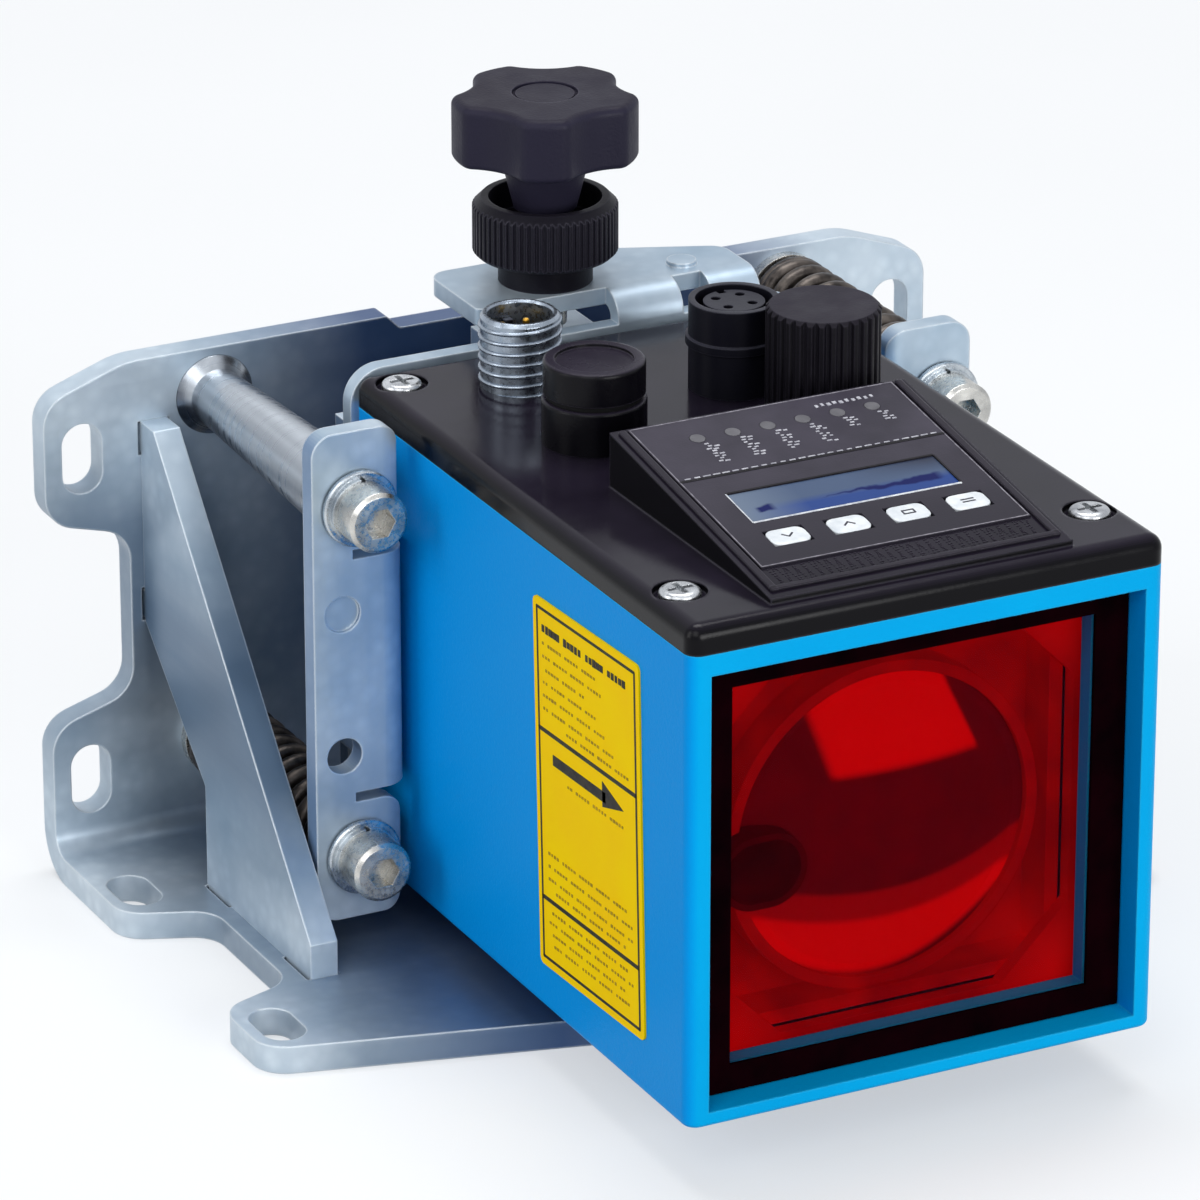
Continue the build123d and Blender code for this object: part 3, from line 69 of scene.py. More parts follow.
# A material under construction: every pattern on it is laid out in object coordinates
class Finish:
    def __init__(self, name, colour, roughness, metallic=0.0, **sockets):
        self.material = bpy.data.materials.new(name)
        self.material.use_nodes = True
        self.tree = self.material.node_tree
        self.shader = self.tree.nodes["Principled BSDF"]
        self.shader.inputs["Base Color"].default_value = colour
        self.shader.inputs["Roughness"].default_value = roughness
        self.shader.inputs["Metallic"].default_value = metallic
        for socket, value in sockets.items():
            self.shader.inputs[socket.replace("_", " ")].default_value = value
        self.where = self.tree.nodes.new("ShaderNodeTexCoord").outputs["Object"]

    def link(self, source, target):
        self.tree.links.new(source, target)

    def feed(self, target, value):
        if isinstance(value, (int, float, tuple)):
            target.default_value = value
        else:
            self.link(value, target)

    def noise(self, scale, detail, stretch=(1, 1, 1)):
        mapping = self.tree.nodes.new("ShaderNodeMapping")
        self.link(self.where, mapping.inputs["Vector"])
        mapping.inputs["Scale"].default_value = stretch
        texture = self.tree.nodes.new("ShaderNodeTexNoise")
        self.link(mapping.outputs["Vector"], texture.inputs["Vector"])
        texture.inputs["Scale"].default_value = scale
        texture.inputs["Detail"].default_value = detail
        texture.inputs["Roughness"].default_value = 0.55
        return texture.outputs["Fac"]

    def cells(self, scale):
        texture = self.tree.nodes.new("ShaderNodeTexVoronoi")
        self.link(self.where, texture.inputs["Vector"])
        texture.inputs["Scale"].default_value = scale
        return texture.outputs["Distance"]

    def span(self, value, low, high, start=0.0, end=1.0):
        node = self.tree.nodes.new("ShaderNodeMapRange")
        self.feed(node.inputs["Value"], value)
        for socket, number in zip(("From Min", "From Max", "To Min", "To Max"), (low, high, start, end)):
            node.inputs[socket].default_value = number
        return node.outputs["Result"]

    def calc(self, kind, a, b=0.0):
        node = self.tree.nodes.new("ShaderNodeMath")
        node.operation = kind
        self.feed(node.inputs[0], a)
        self.feed(node.inputs[1], b)
        return node.outputs["Value"]

    def mix(self, share, a, b):
        node = self.tree.nodes.new("ShaderNodeMix")
        node.data_type = "RGBA"
        self.feed(node.inputs[0], share)
        self.feed(node.inputs[6], a)
        self.feed(node.inputs[7], b)
        return node.outputs[2]

    def axis(self, letter, vector=None):
        node = self.tree.nodes.new("ShaderNodeSeparateXYZ")
        self.link(vector or self.where, node.inputs["Vector"])
        return node.outputs["XYZ".index(letter)]

    def facing(self, letter):
        geometry = self.tree.nodes.new("ShaderNodeNewGeometry")
        return self.axis(letter, geometry.outputs["True Normal"])

    def rounded(self, radius):
        node = self.tree.nodes.new("ShaderNodeBevel")
        node.samples = 4
        node.inputs["Radius"].default_value = radius
        return node.outputs["Normal"]

    # 1 on an edge, where the rounded surface turns away from the real one, and 0 on a flat face
    def edges(self, radius):
        geometry = self.tree.nodes.new("ShaderNodeNewGeometry")
        dot = self.tree.nodes.new("ShaderNodeVectorMath")
        dot.operation = "DOT_PRODUCT"
        self.link(self.rounded(radius), dot.inputs[0])
        self.link(geometry.outputs["Normal"], dot.inputs[1])
        return self.span(dot.outputs["Value"], 0.98, 0.72)

    def bump(self, height, distance, edge=0.0):
        node = self.tree.nodes.new("ShaderNodeBump")
        node.inputs["Distance"].default_value = distance
        node.inputs["Strength"].default_value = 1.0
        self.feed(node.inputs["Height"], height)
        if edge:
            self.link(self.rounded(edge), node.inputs["Normal"])
        self.link(node.outputs["Normal"], self.shader.inputs["Normal"])

    def colour(self, source):
        self.link(source, self.shader.inputs["Base Color"])

    def rough(self, source):
        self.link(source, self.shader.inputs["Roughness"])


def dress(material, *names):
    for name in names:
        slots = nodes[name].data.materials
        slots.clear()
        slots.append(material)


def zinc_finish(name, brushed, deep_tint_and_shade, tint_and_shade_share, dull_and_shade_share):
    zinc = Finish(name, tone(190, 206, 218), 0.36, 0.45)
    clouds = zinc.noise(38, 5)
    flakes = zinc.cells(420)
    base = zinc.mix(zinc.span(clouds, 0.32, 0.68), tone(158, 180, 198), tone(222, 233, 241))
    speckled = zinc.mix(zinc.span(flakes, 0.0, 0.6, 0.0, 0.22), base, tone(122, 144, 164))
    # The next two mixes lay duller and bluer zones. They are painted shade where a sheet's zones are laid out
    # by place or facing, and random clouds of the sheet's own tone where they come from noise.
    dulled_and_shaded = zinc.mix(dull_and_shade_share(zinc), speckled, tone(92, 112, 134))
    tinted_and_shaded = zinc.mix(tint_and_shade_share(zinc), dulled_and_shaded, deep_tint_and_shade)
    zinc.colour(zinc.mix(zinc.edges(0.5 * MM), tinted_and_shaded, tone(236, 243, 248)))
    grain = zinc.noise(260, stretch=brushed, detail=3)
    zinc.rough(zinc.span(zinc.calc("ADD", clouds, grain), 0.6, 1.4, 0.26, 0.5))
    zinc.bump(grain, 0.05 * MM, 0.35 * MM)
    return zinc.material


def band(finish, value, low, full_low, full_high, high):
    return finish.calc("MULTIPLY", finish.span(value, low, full_low), finish.span(value, high, full_high))


# Where each sheet is bluer or duller, in metres in the shared frame. The zones laid out by place are painted
# shade: they stay under any light, and the bracket's wall shows them on its back as well.
def painted_shade_behind_sensor(zinc):
    wall = zinc.calc("MULTIPLY", band(zinc, zinc.axis("X"), -0.048, -0.020, 0.034, 0.052),
                    zinc.span(zinc.axis("Z"), 0.004, 0.030))
    on_floor = zinc.calc("MULTIPLY", zinc.span(zinc.axis("X"), -0.056, -0.030),
                        zinc.span(zinc.axis("Z"), 0.012, 0.003, 0.0, 0.9))
    return zinc.calc("MULTIPLY", zinc.calc("MAXIMUM", wall, on_floor), 0.9)


def bracket_painted_shade(zinc):
    middle = band(zinc, zinc.axis("Z"), 0.012, 0.030, 0.052, 0.066)
    left = zinc.span(zinc.axis("X"), -0.040, -0.054)
    floor = zinc.calc("MULTIPLY", band(zinc, zinc.axis("X"), -0.068, -0.056, -0.030, -0.020),
                     zinc.span(zinc.axis("Z"), 0.012, 0.003))
    return zinc.calc("MULTIPLY", zinc.calc("MAXIMUM", zinc.calc("MULTIPLY", middle, left), floor), 0.75)


def gusset_painted_shade(zinc):
    return band(zinc, zinc.axis("Z"), 0.008, 0.026, 0.040, 0.058)


def cradle_painted_shade(zinc):
    return zinc.calc("MULTIPLY", band(zinc, zinc.axis("Z"), 0.004, 0.016, 0.026, 0.040), 0.3)


def little_dim(zinc):
    return zinc.span(zinc.noise(30, 2), 0.45, 0.8, 0.0, 0.3)


def light_tint(zinc):
    return zinc.span(zinc.noise(24, 2), 0.35, 0.75, 0.0, 0.3)


# Painted shade: a blue tint on the faces that look left
def cradle_side_painted_shade(zinc):
    return zinc.span(zinc.facing("X"), -0.3, -0.9, 0.0, 0.6)


dress(zinc_finish("zinc_bracket", (0.05, 1, 1), tone(20, 62, 116), painted_shade_behind_sensor, bracket_painted_shade),
      "mounting_bracket")
dress(zinc_finish("zinc_gusset", (1, 0.05, 1), tone(110, 146, 178), light_tint, gusset_painted_shade),
      "gusset_left", "gusset_right")
dress(zinc_finish("zinc_cradle", (1, 1, 0.05), tone(44, 96, 150), cradle_side_painted_shade, cradle_painted_shade), "alignment_cradle")
dress(zinc_finish("zinc_device", (0.05, 1, 1), tone(120, 152, 180), light_tint, little_dim), "device_plate")


# Pivot post: a tapered steel post, turned and welded to the back plate.
# It is satin, with fine rings round it from turning and darker streaks along it.
def post_finish():
    steel = Finish("turned_steel", tone(150, 158, 168), 0.3, 0.95)
    rings = steel.noise(900, 2, (0.02, 1, 0.02))
    streak = steel.noise(140, 3, (1, 0.03, 1))
    steel.colour(steel.mix(steel.span(streak, 0.35, 0.65), tone(98, 104, 114), tone(206, 212, 218)))
    steel.rough(steel.span(rings, 0.3, 0.7, 0.2, 0.42))
    steel.bump(rings, 0.02 * MM, 0.2 * MM)
    return steel.material


dress(post_finish(), "pivot_post")


# Machine screws, nuts and washers: cold-formed steel, plated. The plating is clouded and finely scratched.
# The two adjusting screws pass through the cradle and their springs into nuts pressed in the bracket.
def nickel_finish(name, light, dark):
    metal = Finish(name, light, 0.26, 0.95)
    clouds = metal.noise(320, 2)
    metal.colour(metal.mix(metal.span(clouds, 0.3, 0.7), dark, light))
    metal.rough(metal.span(metal.noise(1600, 2), 0.3, 0.7, 0.18, 0.4))
    metal.bump(clouds, 0.015 * MM, 0.18 * MM)
    return metal.material


dress(nickel_finish("screw_nickel", tone(214, 212, 206), tone(164, 163, 160)), "pivot_screw", "yaw_screw",
      "pitch_screw", "pivot_ball", "yaw_nut", "pitch_nut", "rear_screws", "knob_spindle")
dress(nickel_finish("washer_zinc", tone(206, 212, 216), tone(150, 158, 166)),
      "pivot_washer", "yaw_washer", "pitch_washer")
dress(nickel_finish("lid_screw_steel", tone(216, 218, 220), tone(150, 152, 156)), "lid_screws")


# Springs: spring-steel wire, cold wound and darkened, with both end turns closed.
# Each sits round its screw between the bracket's nut and the cradle, and is pressed together there.

# A geometry node tree under construction, with its sizes as named inputs
class Grown:
    def __init__(self, name):
        self.tree = bpy.data.node_groups.new(name, "GeometryNodeTree")
        self.tree.interface.new_socket("Geometry", in_out="INPUT", socket_type="NodeSocketGeometry")
        self.tree.interface.new_socket("Geometry", in_out="OUTPUT", socket_type="NodeSocketGeometry")
        self.given = self.tree.nodes.new("NodeGroupInput")
        self.taken = self.tree.nodes.new("NodeGroupOutput")
        self.values = {}

    def size(self, label, value):
        kind = "NodeSocketInt" if isinstance(value, int) else "NodeSocketFloat"
        socket = self.tree.interface.new_socket(label, in_out="INPUT", socket_type=kind)
        self.values[socket.identifier] = value
        return self.given.outputs[label]

    def node(self, kind, **inputs):
        made = self.tree.nodes.new(kind)
        for label, value in inputs.items():
            self.feed(made.inputs[label.replace("_", " ")], value)
        return made

    def feed(self, socket, value):
        if isinstance(value, bpy.types.NodeSocket):
            self.tree.links.new(value, socket)
        else:
            socket.default_value = value

    def calc(self, operation, a, b=0.0):
        made = self.tree.nodes.new("ShaderNodeMath")
        made.operation = operation
        self.feed(made.inputs[0], a)
        self.feed(made.inputs[1], b)
        return made.outputs["Value"]

    def mesh(self, name, geometry, material, points=()):
        loose = self.node("GeometryNodeRealizeInstances", Geometry=geometry)
        dressed = self.node("GeometryNodeSetMaterial", Geometry=loose.outputs[0], Material=material)
        self.tree.links.new(dressed.outputs[0], self.taken.inputs[0])
        seed = bpy.data.meshes.new(name + "_seed")
        seed.from_pydata([tuple(point) for point in points], [], [])
        carrier = bpy.data.objects.new(name + "_carrier", seed)
        bpy.context.scene.collection.objects.link(carrier)
        grower = carrier.modifiers.new("grow", "NODES")
        grower.node_group = self.tree
        for identifier, value in self.values.items():
            grower[identifier] = value
        state = bpy.context.evaluated_depsgraph_get()
        grown = bpy.data.meshes.new_from_object(carrier.evaluated_get(state))
        bpy.data.objects.remove(carrier)
        return grown


def spring_finish():
    wire = Finish("spring_wire", tone(62, 56, 52), 0.42, 0.7)
    clouds = wire.noise(380, 3)
    wire.colour(wire.mix(wire.span(clouds, 0.35, 0.7), tone(44, 39, 37), tone(104, 96, 90)))
    wire.rough(wire.span(clouds, 0.3, 0.7, 0.3, 0.5))
    wire.bump(wire.noise(1500, 2), 0.03 * MM)
    return wire.material


# One wire wound along an axis: the closed end turns lie against each other, the rest are open
def wound(name, radius, run, turns, wire, closed_turns, close_slope, sides, material):
    tree = Grown(name + "_tree")
    turn_count = tree.size("Turns", float(turns))
    steps_a_turn = 36
    line = tree.node("GeometryNodeCurvePrimitiveLine")
    steps = tree.node("GeometryNodeResampleCurve", Curve=line.outputs[0], Count=int(turns * steps_a_turn) + 1)
    share = tree.node("GeometryNodeSplineParameter").outputs["Factor"]
    closed = closed_turns / turns
    open_rise = 1 - 2 * closed * close_slope
    climb = 0.0
    for start, end, rise in ((0, closed, closed * close_slope), (closed, 1 - closed, open_rise),
                             (1 - closed, 1, closed * close_slope)):
        part = tree.node("ShaderNodeMapRange", Value=share, From_Min=start, From_Max=end, To_Min=0.0,
                         To_Max=rise)
        climb = tree.calc("ADD", part.outputs["Result"], climb)
    angle = tree.calc("MULTIPLY", tree.calc("MULTIPLY", share, turn_count), 2 * math.pi)
    coil_r = tree.size("Coil radius", radius)
    place = tree.node("ShaderNodeCombineXYZ", X=tree.calc("MULTIPLY", tree.calc("COSINE", angle), coil_r),
                      Y=tree.calc("MULTIPLY", climb, tree.size("Run", -run)),
                      Z=tree.calc("MULTIPLY", tree.calc("SINE", angle), coil_r))
    path = tree.node("GeometryNodeSetPosition", Geometry=steps.outputs[0], Position=place.outputs[0])
    section = tree.node("GeometryNodeCurvePrimitiveCircle", Resolution=sides,
                        Radius=tree.size("Wire radius", wire))
    swept = tree.node("GeometryNodeCurveToMesh", Curve=path.outputs[0], Profile_Curve=section.outputs[0],
                      Fill_Caps=True)
    return tree.mesh(name, swept.outputs[0], material)


def shown(name, mesh, material):
    mesh.materials.clear()
    mesh.materials.append(material)
    piece = bpy.data.objects.new(name, mesh)
    bpy.context.scene.collection.objects.link(piece)
    return piece


def coil(name, node):
    low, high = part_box(node)
    centre = (low + high) / 2
    wire_r = 1.2 * MM
    outer_r = 6.4 * MM
    run = high.y - low.y - 2 * wire_r
    turns, closed_turns, close_slope = 13, 1.6, 0.35
    mesh = wound(name, outer_r - wire_r, run, turns, wire_r, closed_turns, close_slope, 12, wire_material)
    mesh.transform(Matrix.Translation((centre.x, high.y - wire_r, centre.z)))
    for polygon in mesh.polygons:
        polygon.use_smooth = True
    piece = shown(name, mesh, wire_material)
    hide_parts(node)
    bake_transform(piece)


wire_material = spring_finish()
coil("yaw_coil", "yaw_spring")
coil("pitch_coil", "pitch_spring")


# Housing: a die-cast box under blue powder coat, with a fine orange peel and slightly paler edges.
# Its left side gets a painted shade, a darker blue than its front.
def blue_finish():
    paint = Finish("blue_powder_coat", tone(0, 166, 228), 0.42, Specular_IOR_Level=0.05)
    soft = paint.noise(30, 3)
    front = paint.mix(paint.span(soft, 0.3, 0.7), tone(0, 164, 228), tone(0, 172, 233))
    # Painted shade: faces that look left are a darker blue
    base = paint.mix(paint.span(paint.facing("X"), -0.3, -0.9), front, tone(0, 148, 230))
    worn = paint.mix(paint.edges(0.5 * MM), base, tone(40, 184, 238))
    paint.colour(worn)
    peel = paint.noise(1500, 2)
    grain = paint.calc("ADD", peel, paint.noise(5200, 1))
    paint.rough(paint.span(peel, 0.3, 0.7, 0.3, 0.44))
    paint.bump(grain, 0.03 * MM, 0.5 * MM)
    return paint.material


dress(blue_finish(), "housing")


# Boards and laser module: green laminate with copper tracks under the lacquer, and a turned brass module.
# The main board stands on posts, and the detector board and the module's flange lie against the optics
# carrier's plate. The panel board is under the control panel. No view of the closed part shows them.
def board_finish():
    board = Finish("circuit_board", tone(18, 82, 44), 0.42)
    tracks = board.noise(260, 2, (1, 0.2, 0.2))
    board.colour(board.mix(board.span(tracks, 0.48, 0.56), tone(14, 68, 36), tone(38, 112, 62)))
    board.bump(tracks, 0.03 * MM)
    return board.material


dress(board_finish(), "detector_board", "main_board", "panel_board")
dress(nickel_finish("laser_brass", tone(168, 162, 140), tone(120, 112, 92)), "laser_module")


# Optics: a glass receiver lens in a moulded frame, and the emitter's tube, behind a red filter pane. Each has
# the red that the filter leaves of it, and a slight painted glow, emitted though it is no lamp, for the light
# that the pane keeps out.
# The lens has its reflections painted on: a bright patch above, a crescent below and a half-lit band.
def red_finish(name, dark, bright, painted_glow, painted_light=None):
    red = Finish(name, dark, 0.5, Specular_IOR_Level=0.0)
    clouds = red.noise(160, 3)
    base = red.mix(red.span(clouds, 0.3, 0.7), dark, bright)
    if painted_light:
        base = painted_light(red, base)
    red.colour(base)
    # Painted glow: the same colour is emitted
    red.link(base, red.shader.inputs["Emission Color"])
    red.shader.inputs["Emission Strength"].default_value = painted_glow
    red.bump(red.noise(1400, 1), 0.02 * MM, 0.3 * MM)
    return red.material


# Painted light: the frame is a brighter red towards its corners
def painted_lit_corners(red, base):
    low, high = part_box("lens_frame")
    x = red.span(red.axis("X"), low.x, high.x, -1, 1)
    z = red.span(red.axis("Z"), low.z, high.z, -1, 1)
    away = red.calc("ADD", red.calc("ABSOLUTE", x), red.calc("ABSOLUTE", z))
    return red.mix(red.span(away, 1.35, 1.75), base, tone(214, 2, 4))


# Painted reflections, in millimetres on the lens: left and right are the bright patch's slanted sides,
# patch_foot its lower edge, and over and under the bowed edges of the crescent
def lit_lens(red, base):
    patch_foot, band_depth, bow_middle = 48.6, 3.6, -1.0
    x = red.calc("MULTIPLY", red.axis("X"), 1 / MM)
    z = red.calc("MULTIPLY", red.axis("Z"), 1 / MM)
    left = red.calc("ADD", red.calc("MULTIPLY", z, -0.29), 5.5)
    right = red.calc("ADD", red.calc("MULTIPLY", z, -0.43), 35.2)
    patch = red.calc("MULTIPLY", red.span(red.calc("SUBTRACT", x, left), -0.3, 1.2),
                    red.span(red.calc("SUBTRACT", right, x), 0.0, 0.8))
    patch = red.calc("MULTIPLY", patch, red.span(z, patch_foot, patch_foot + 1.2))
    off = red.calc("SUBTRACT", x, bow_middle)
    square = red.calc("MULTIPLY", off, off)
    under = red.calc("ADD", red.calc("MULTIPLY", square, 0.0085), 29.0)
    over = red.calc("ADD", red.calc("MULTIPLY", square, 0.025), 18.8)
    crescent = red.calc("MULTIPLY", red.span(red.calc("SUBTRACT", z, over), 0.0, 1.2),
                       red.span(red.calc("SUBTRACT", under, z), 0.0, 1.6))
    half = red.span(red.calc("SUBTRACT", red.calc("ADD", under, band_depth), z), 0.0, 0.8, 0.0, 0.35)
    half = red.calc("MULTIPLY", half, red.span(red.calc("SUBTRACT", z, over), 0.0, 1.2))
    lit = red.calc("MAXIMUM", red.calc("MAXIMUM", patch, crescent), half)
    return red.mix(lit, base, tone(222, 0, 2))


dress(red_finish("frame_red", tone(140, 0, 4), tone(168, 2, 5), 0.35, painted_lit_corners), "lens_frame")
dress(red_finish("emitter_red", tone(60, 0, 3), tone(84, 0, 4), 0.2), "emitter_tube", "emitter_lens",
      "optics_carrier")
dress(red_finish("receiver_lens_red", tone(84, 0, 5), tone(98, 0, 6), 0.35, lit_lens), "receiver_lens")


# Window: a red filter pane, polished on both sides and glued in a dark moulded frame.
# The frame is set back in the housing.
def pane_finish():
    pane = Finish("red_filter", tone(40, 0, 4), 0.06, Alpha=0.2, Specular_IOR_Level=0.05)
    pane.material.blend_method = "BLEND"
    film = pane.noise(50, 2)
    pane.colour(pane.mix(pane.span(film, 0.3, 0.7), tone(34, 0, 3), tone(52, 0, 5)))
    return pane.material


dress(pane_finish(), "window_pane")
dress(red_finish("bezel_black", tone(8, 2, 4), tone(20, 2, 6), 0.0), "window_bezel")


# Lid, caps, clamp and seals: black mouldings. The lid and the caps are glossy, with a painted plum sheen on
# top.
# The knob, ring and fluted cap are matt, and the knob has a painted darker top. Each part has a painted
# highlight along its edges. The seals are rubber.
def black_finish(name, side, top, rough_low, rough_high, grain_depth, painted_edge_highlight, edge_r=0.35):
    plastic = Finish(name, side, rough_low, Specular_IOR_Level=0.13)
    top_light_clouds = plastic.noise(70, 4)
    # Painted light and shade: faces that look up take the top colour, and edges take the painted highlight
    up = plastic.span(plastic.facing("Z"), 0.55, 0.95)
    top_light_and_shade = plastic.mix(plastic.span(top_light_clouds, 0.35, 0.75, 0.55, 1.0), side, top)
    body = plastic.mix(up, side, top_light_and_shade)
    plastic.colour(plastic.mix(plastic.edges(edge_r * MM), body, painted_edge_highlight))
    plastic.rough(plastic.span(plastic.noise(180, 3), 0.3, 0.7, rough_low, rough_high))
    plastic.bump(plastic.noise(2400, 2), grain_depth, edge_r * MM)
    return plastic.material


dress(black_finish("lid_black", tone(3, 2, 6), tone(33, 28, 41), 0.12, 0.2, 0.006 * MM,
                   tone(66, 63, 74), 0.5), "lid")
dress(black_finish("cap_black", tone(10, 9, 14), tone(46, 41, 54), 0.22, 0.34, 0.015 * MM, tone(70, 66, 78)),
      "socket_cap", "capped_socket")
dress(black_finish("knob_black", tone(36, 34, 50), tone(30, 26, 37), 0.42, 0.56, 0.05 * MM,
                   tone(88, 84, 98)), "star_knob")
dress(black_finish("ring_black", tone(18, 17, 25), tone(34, 31, 40), 0.38, 0.5, 0.03 * MM, tone(74, 72, 86)),
      "lock_ring", "threaded_bush", "vent_plug")
dress(black_finish("fluted_black", tone(10, 8, 14), tone(36, 31, 44), 0.42, 0.58, 0.03 * MM,
                   tone(48, 45, 56)), "fluted_cap", "fluted_plug")
dress(black_finish("socket_black", tone(18, 18, 26), tone(44, 44, 56), 0.3, 0.42, 0.015 * MM,
                   tone(74, 74, 86)), "data_socket", "data_insert", "port_inserts", "power_insert")
dress(black_finish("seal_black", tone(12, 12, 13), tone(16, 16, 18), 0.6, 0.75, 0.03 * MM, tone(30, 30, 32)),
      "lid_gasket", "cap_seal", "fluted_seal", "spindle_seal")


# Control panel: a grey printed film, glued on the wedge between two raised borders of the lid.
# Its print is laid on as thin shapes, with no lettering: a light edge line, a dashed divider, short marks
# under each lamp and a row above two of them. A field of small stipples is moulded in front of it.
def film_finish():
    film = Finish("panel_film", tone(60, 56, 67), 0.34, Specular_IOR_Level=0.12)
    clouds = film.noise(90, 4)
    shade = film.mix(film.span(clouds, 0.3, 0.7), tone(50, 47, 57), tone(68, 64, 76))
    film.colour(film.mix(film.span(film.axis("Y"), -0.030, -0.054), shade, tone(42, 39, 48)))
    film.rough(film.span(clouds, 0.3, 0.7, 0.28, 0.4))
    film.bump(film.noise(3800, 1), 0.012 * MM, 0.15 * MM)
    return film.material


# Where a flat face of a CAD node lies: across it, up it and out of it, from the face's middle
def face_of(node, towards, across):
    mesh = nodes[node].data
    outward = Vector()
    for side in mesh.polygons:
        if side.normal.dot(towards) > 0.9:
            outward += side.normal * side.area
    outward.normalize()
    up = outward.cross(across).normalized()
    across = up.cross(outward)
    corners = [mesh.vertices[i].co for side in mesh.polygons if side.normal.dot(outward) > 0.995
               for i in side.vertices]
    middle = Vector()
    for way in (across, up):
        reach = [corner.dot(way) for corner in corners]
        middle += way * (min(reach) + max(reach)) / 2
    middle += outward * max(corner.dot(outward) for corner in corners)
    place = Matrix((across, up, outward)).transposed().to_4x4()
    place.translation = middle
    return place


def spread(node, place):
    there = place.inverted()
    local = [(there @ vertex.co) / MM for vertex in nodes[node].data.vertices]
    return [(min(p[i] for p in local), max(p[i] for p in local)) for i in range(3)]


def rounded_outline(centre, size, radius, steps=6):
    radius = min(radius, size[0] / 2 - 0.001, size[1] / 2 - 0.001)
    outline = []
    for turn, (sx, sy) in enumerate(((1, 1), (-1, 1), (-1, -1), (1, -1))):
        for step in range(steps + 1):
            angle = (turn + step / steps) * math.pi / 2
            outline.append((centre[0] + sx * (size[0] / 2 - radius) + radius * math.cos(angle),
                            centre[1] + sy * (size[1] / 2 - radius) + radius * math.sin(angle)))
    return outline


def finished(name, mesh, material, body):
    piece = shown(name, mesh, material)
    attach(piece, body)
    return piece


def closed_piece(name, work, material, body):
    bmesh.ops.recalc_face_normals(work, faces=work.faces)
    mesh = bpy.data.meshes.new(name)
    work.to_mesh(mesh)
    work.free()
    return finished(name, mesh, material, body)


# Stacked outlines, each a little smaller and higher than the last, closed at both ends
def raised(name, place, shapes, rings, material, body):
    work = bmesh.new()
    for centre, size, radius in shapes:
        loops = []
        for inset, height in rings:
            small = (size[0] - 2 * inset, size[1] - 2 * inset)
            outline = rounded_outline(centre, small, max(radius - inset, 0.05))
            loops.append([work.verts.new(place @ Vector((x * MM, y * MM, height * MM))) for x, y in outline])
        count = len(loops[0])
        for low, high in zip(loops, loops[1:]):
            for i in range(count):
                work.faces.new((low[i], low[(i + 1) % count], high[(i + 1) % count], high[i]))
        work.faces.new(loops[-1])
        work.faces.new(list(reversed(loops[0])))
    return closed_piece(name, work, material, body)


# Simple closed plates from outlines, for print and thin lines
def plates(name, place, outlines, low, high, material, body, slot):
    work = bmesh.new()
    for outline in outlines:
        bottom = [work.verts.new(place @ Vector((x * MM, y * MM, low * MM))) for x, y in outline]
        top = [work.verts.new(place @ Vector((x * MM, y * MM, high * MM))) for x, y in outline]
        count = len(outline)
        for i in range(count):
            work.faces.new((bottom[i], bottom[(i + 1) % count], top[(i + 1) % count], top[i]))
        work.faces.new(top)
        work.faces.new(list(reversed(bottom)))
    return closed_piece(name, work, material, body)


def stroke(start, end, width):
    along = (Vector(end) - Vector(start)).normalized() * width / 2
    side = Vector((-along.y, along.x))
    a, b = Vector(start) - along * 0.5, Vector(end) + along * 0.5
    return [tuple(a - side), tuple(b - side), tuple(b + side), tuple(a + side)]


# Small marks, one on each given spot, a little uneven in length as print is
def marks(name, place, spots, mark, height, material, body, slot, low=0.6, high=1.1):
    tree = Grown(name + "_tree")
    box = tree.node("GeometryNodeMeshCube")
    sides = tree.node("ShaderNodeCombineXYZ", X=tree.size("Mark length", mark[0] * MM),
                      Y=tree.size("Mark width", mark[1] * MM), Z=tree.size("Mark height", 0.08 * MM))
    tree.feed(box.inputs["Size"], sides.outputs[0])
    uneven = tree.node("FunctionNodeRandomValue")
    uneven.data_type = "FLOAT_VECTOR"
    uneven.inputs[0].default_value = (low, 0.8, 1.0)
    uneven.inputs[1].default_value = (high, 1.1, 1.0)
    tree.feed(uneven.inputs["Seed"], tree.size("Seed", 7))
    spotted = tree.node("GeometryNodeInstanceOnPoints", Points=tree.given.outputs["Geometry"],
                        Instance=box.outputs[0], Scale=uneven.outputs[0])
    grown = tree.mesh(name, spotted.outputs[0], material,
                      [Vector((x * MM, y * MM, height * MM)) for x, y in spots])
    grown.transform(place)
    return finished(name, grown, material, body)


def print_finish(name, light, shade):
    ink = Finish(name, light, 0.5, Specular_IOR_Level=0.15)
    ink.colour(ink.mix(ink.span(ink.noise(900, 2), 0.35, 0.65), light, shade))
    ink.bump(ink.noise(2600, 1), 0.008 * MM)
    return ink.material


dress(film_finish(), "panel_overlay")
panel = face_of("panel_overlay", Vector((0, -0.15, 0.99)), Vector((1, 0, 0)))
ink_light = print_finish("panel_ink_light", tone(196, 196, 204), tone(158, 158, 168))
edge_line = print_finish("panel_edge_line", tone(150, 147, 156), tone(104, 101, 110))
# Painted shade: a dark ink for the groove across the film and for the shadow beside the display
painted_shade_ink = print_finish("panel_painted_shade", tone(10, 8, 12), tone(20, 17, 23))

(film_left, film_right), (film_front, film_back) = spread("panel_overlay", panel)[:2]
on_film = ("carriage", "panel_film")
print_rise = 0.04

divider = film_front + 0.62 * (film_back - film_front)
groove = divider - 0.45
# A painted shade line in the groove just in front of the dashed divider
plates("panel_groove_line", panel, [stroke((film_left + 0.3, groove), (film_right - 0.3, groove), 0.5)],
       -0.05, 0.05, painted_shade_ink, *on_film)
dash_count = 27
dash_pitch = (film_right - film_left - 1.6) / dash_count
dashes = [(film_left + 0.8 + (i + 0.5) * dash_pitch, divider) for i in range(dash_count)]
marks("panel_divider", panel, dashes, (1.0, 0.22), print_rise, ink_light, *on_film)

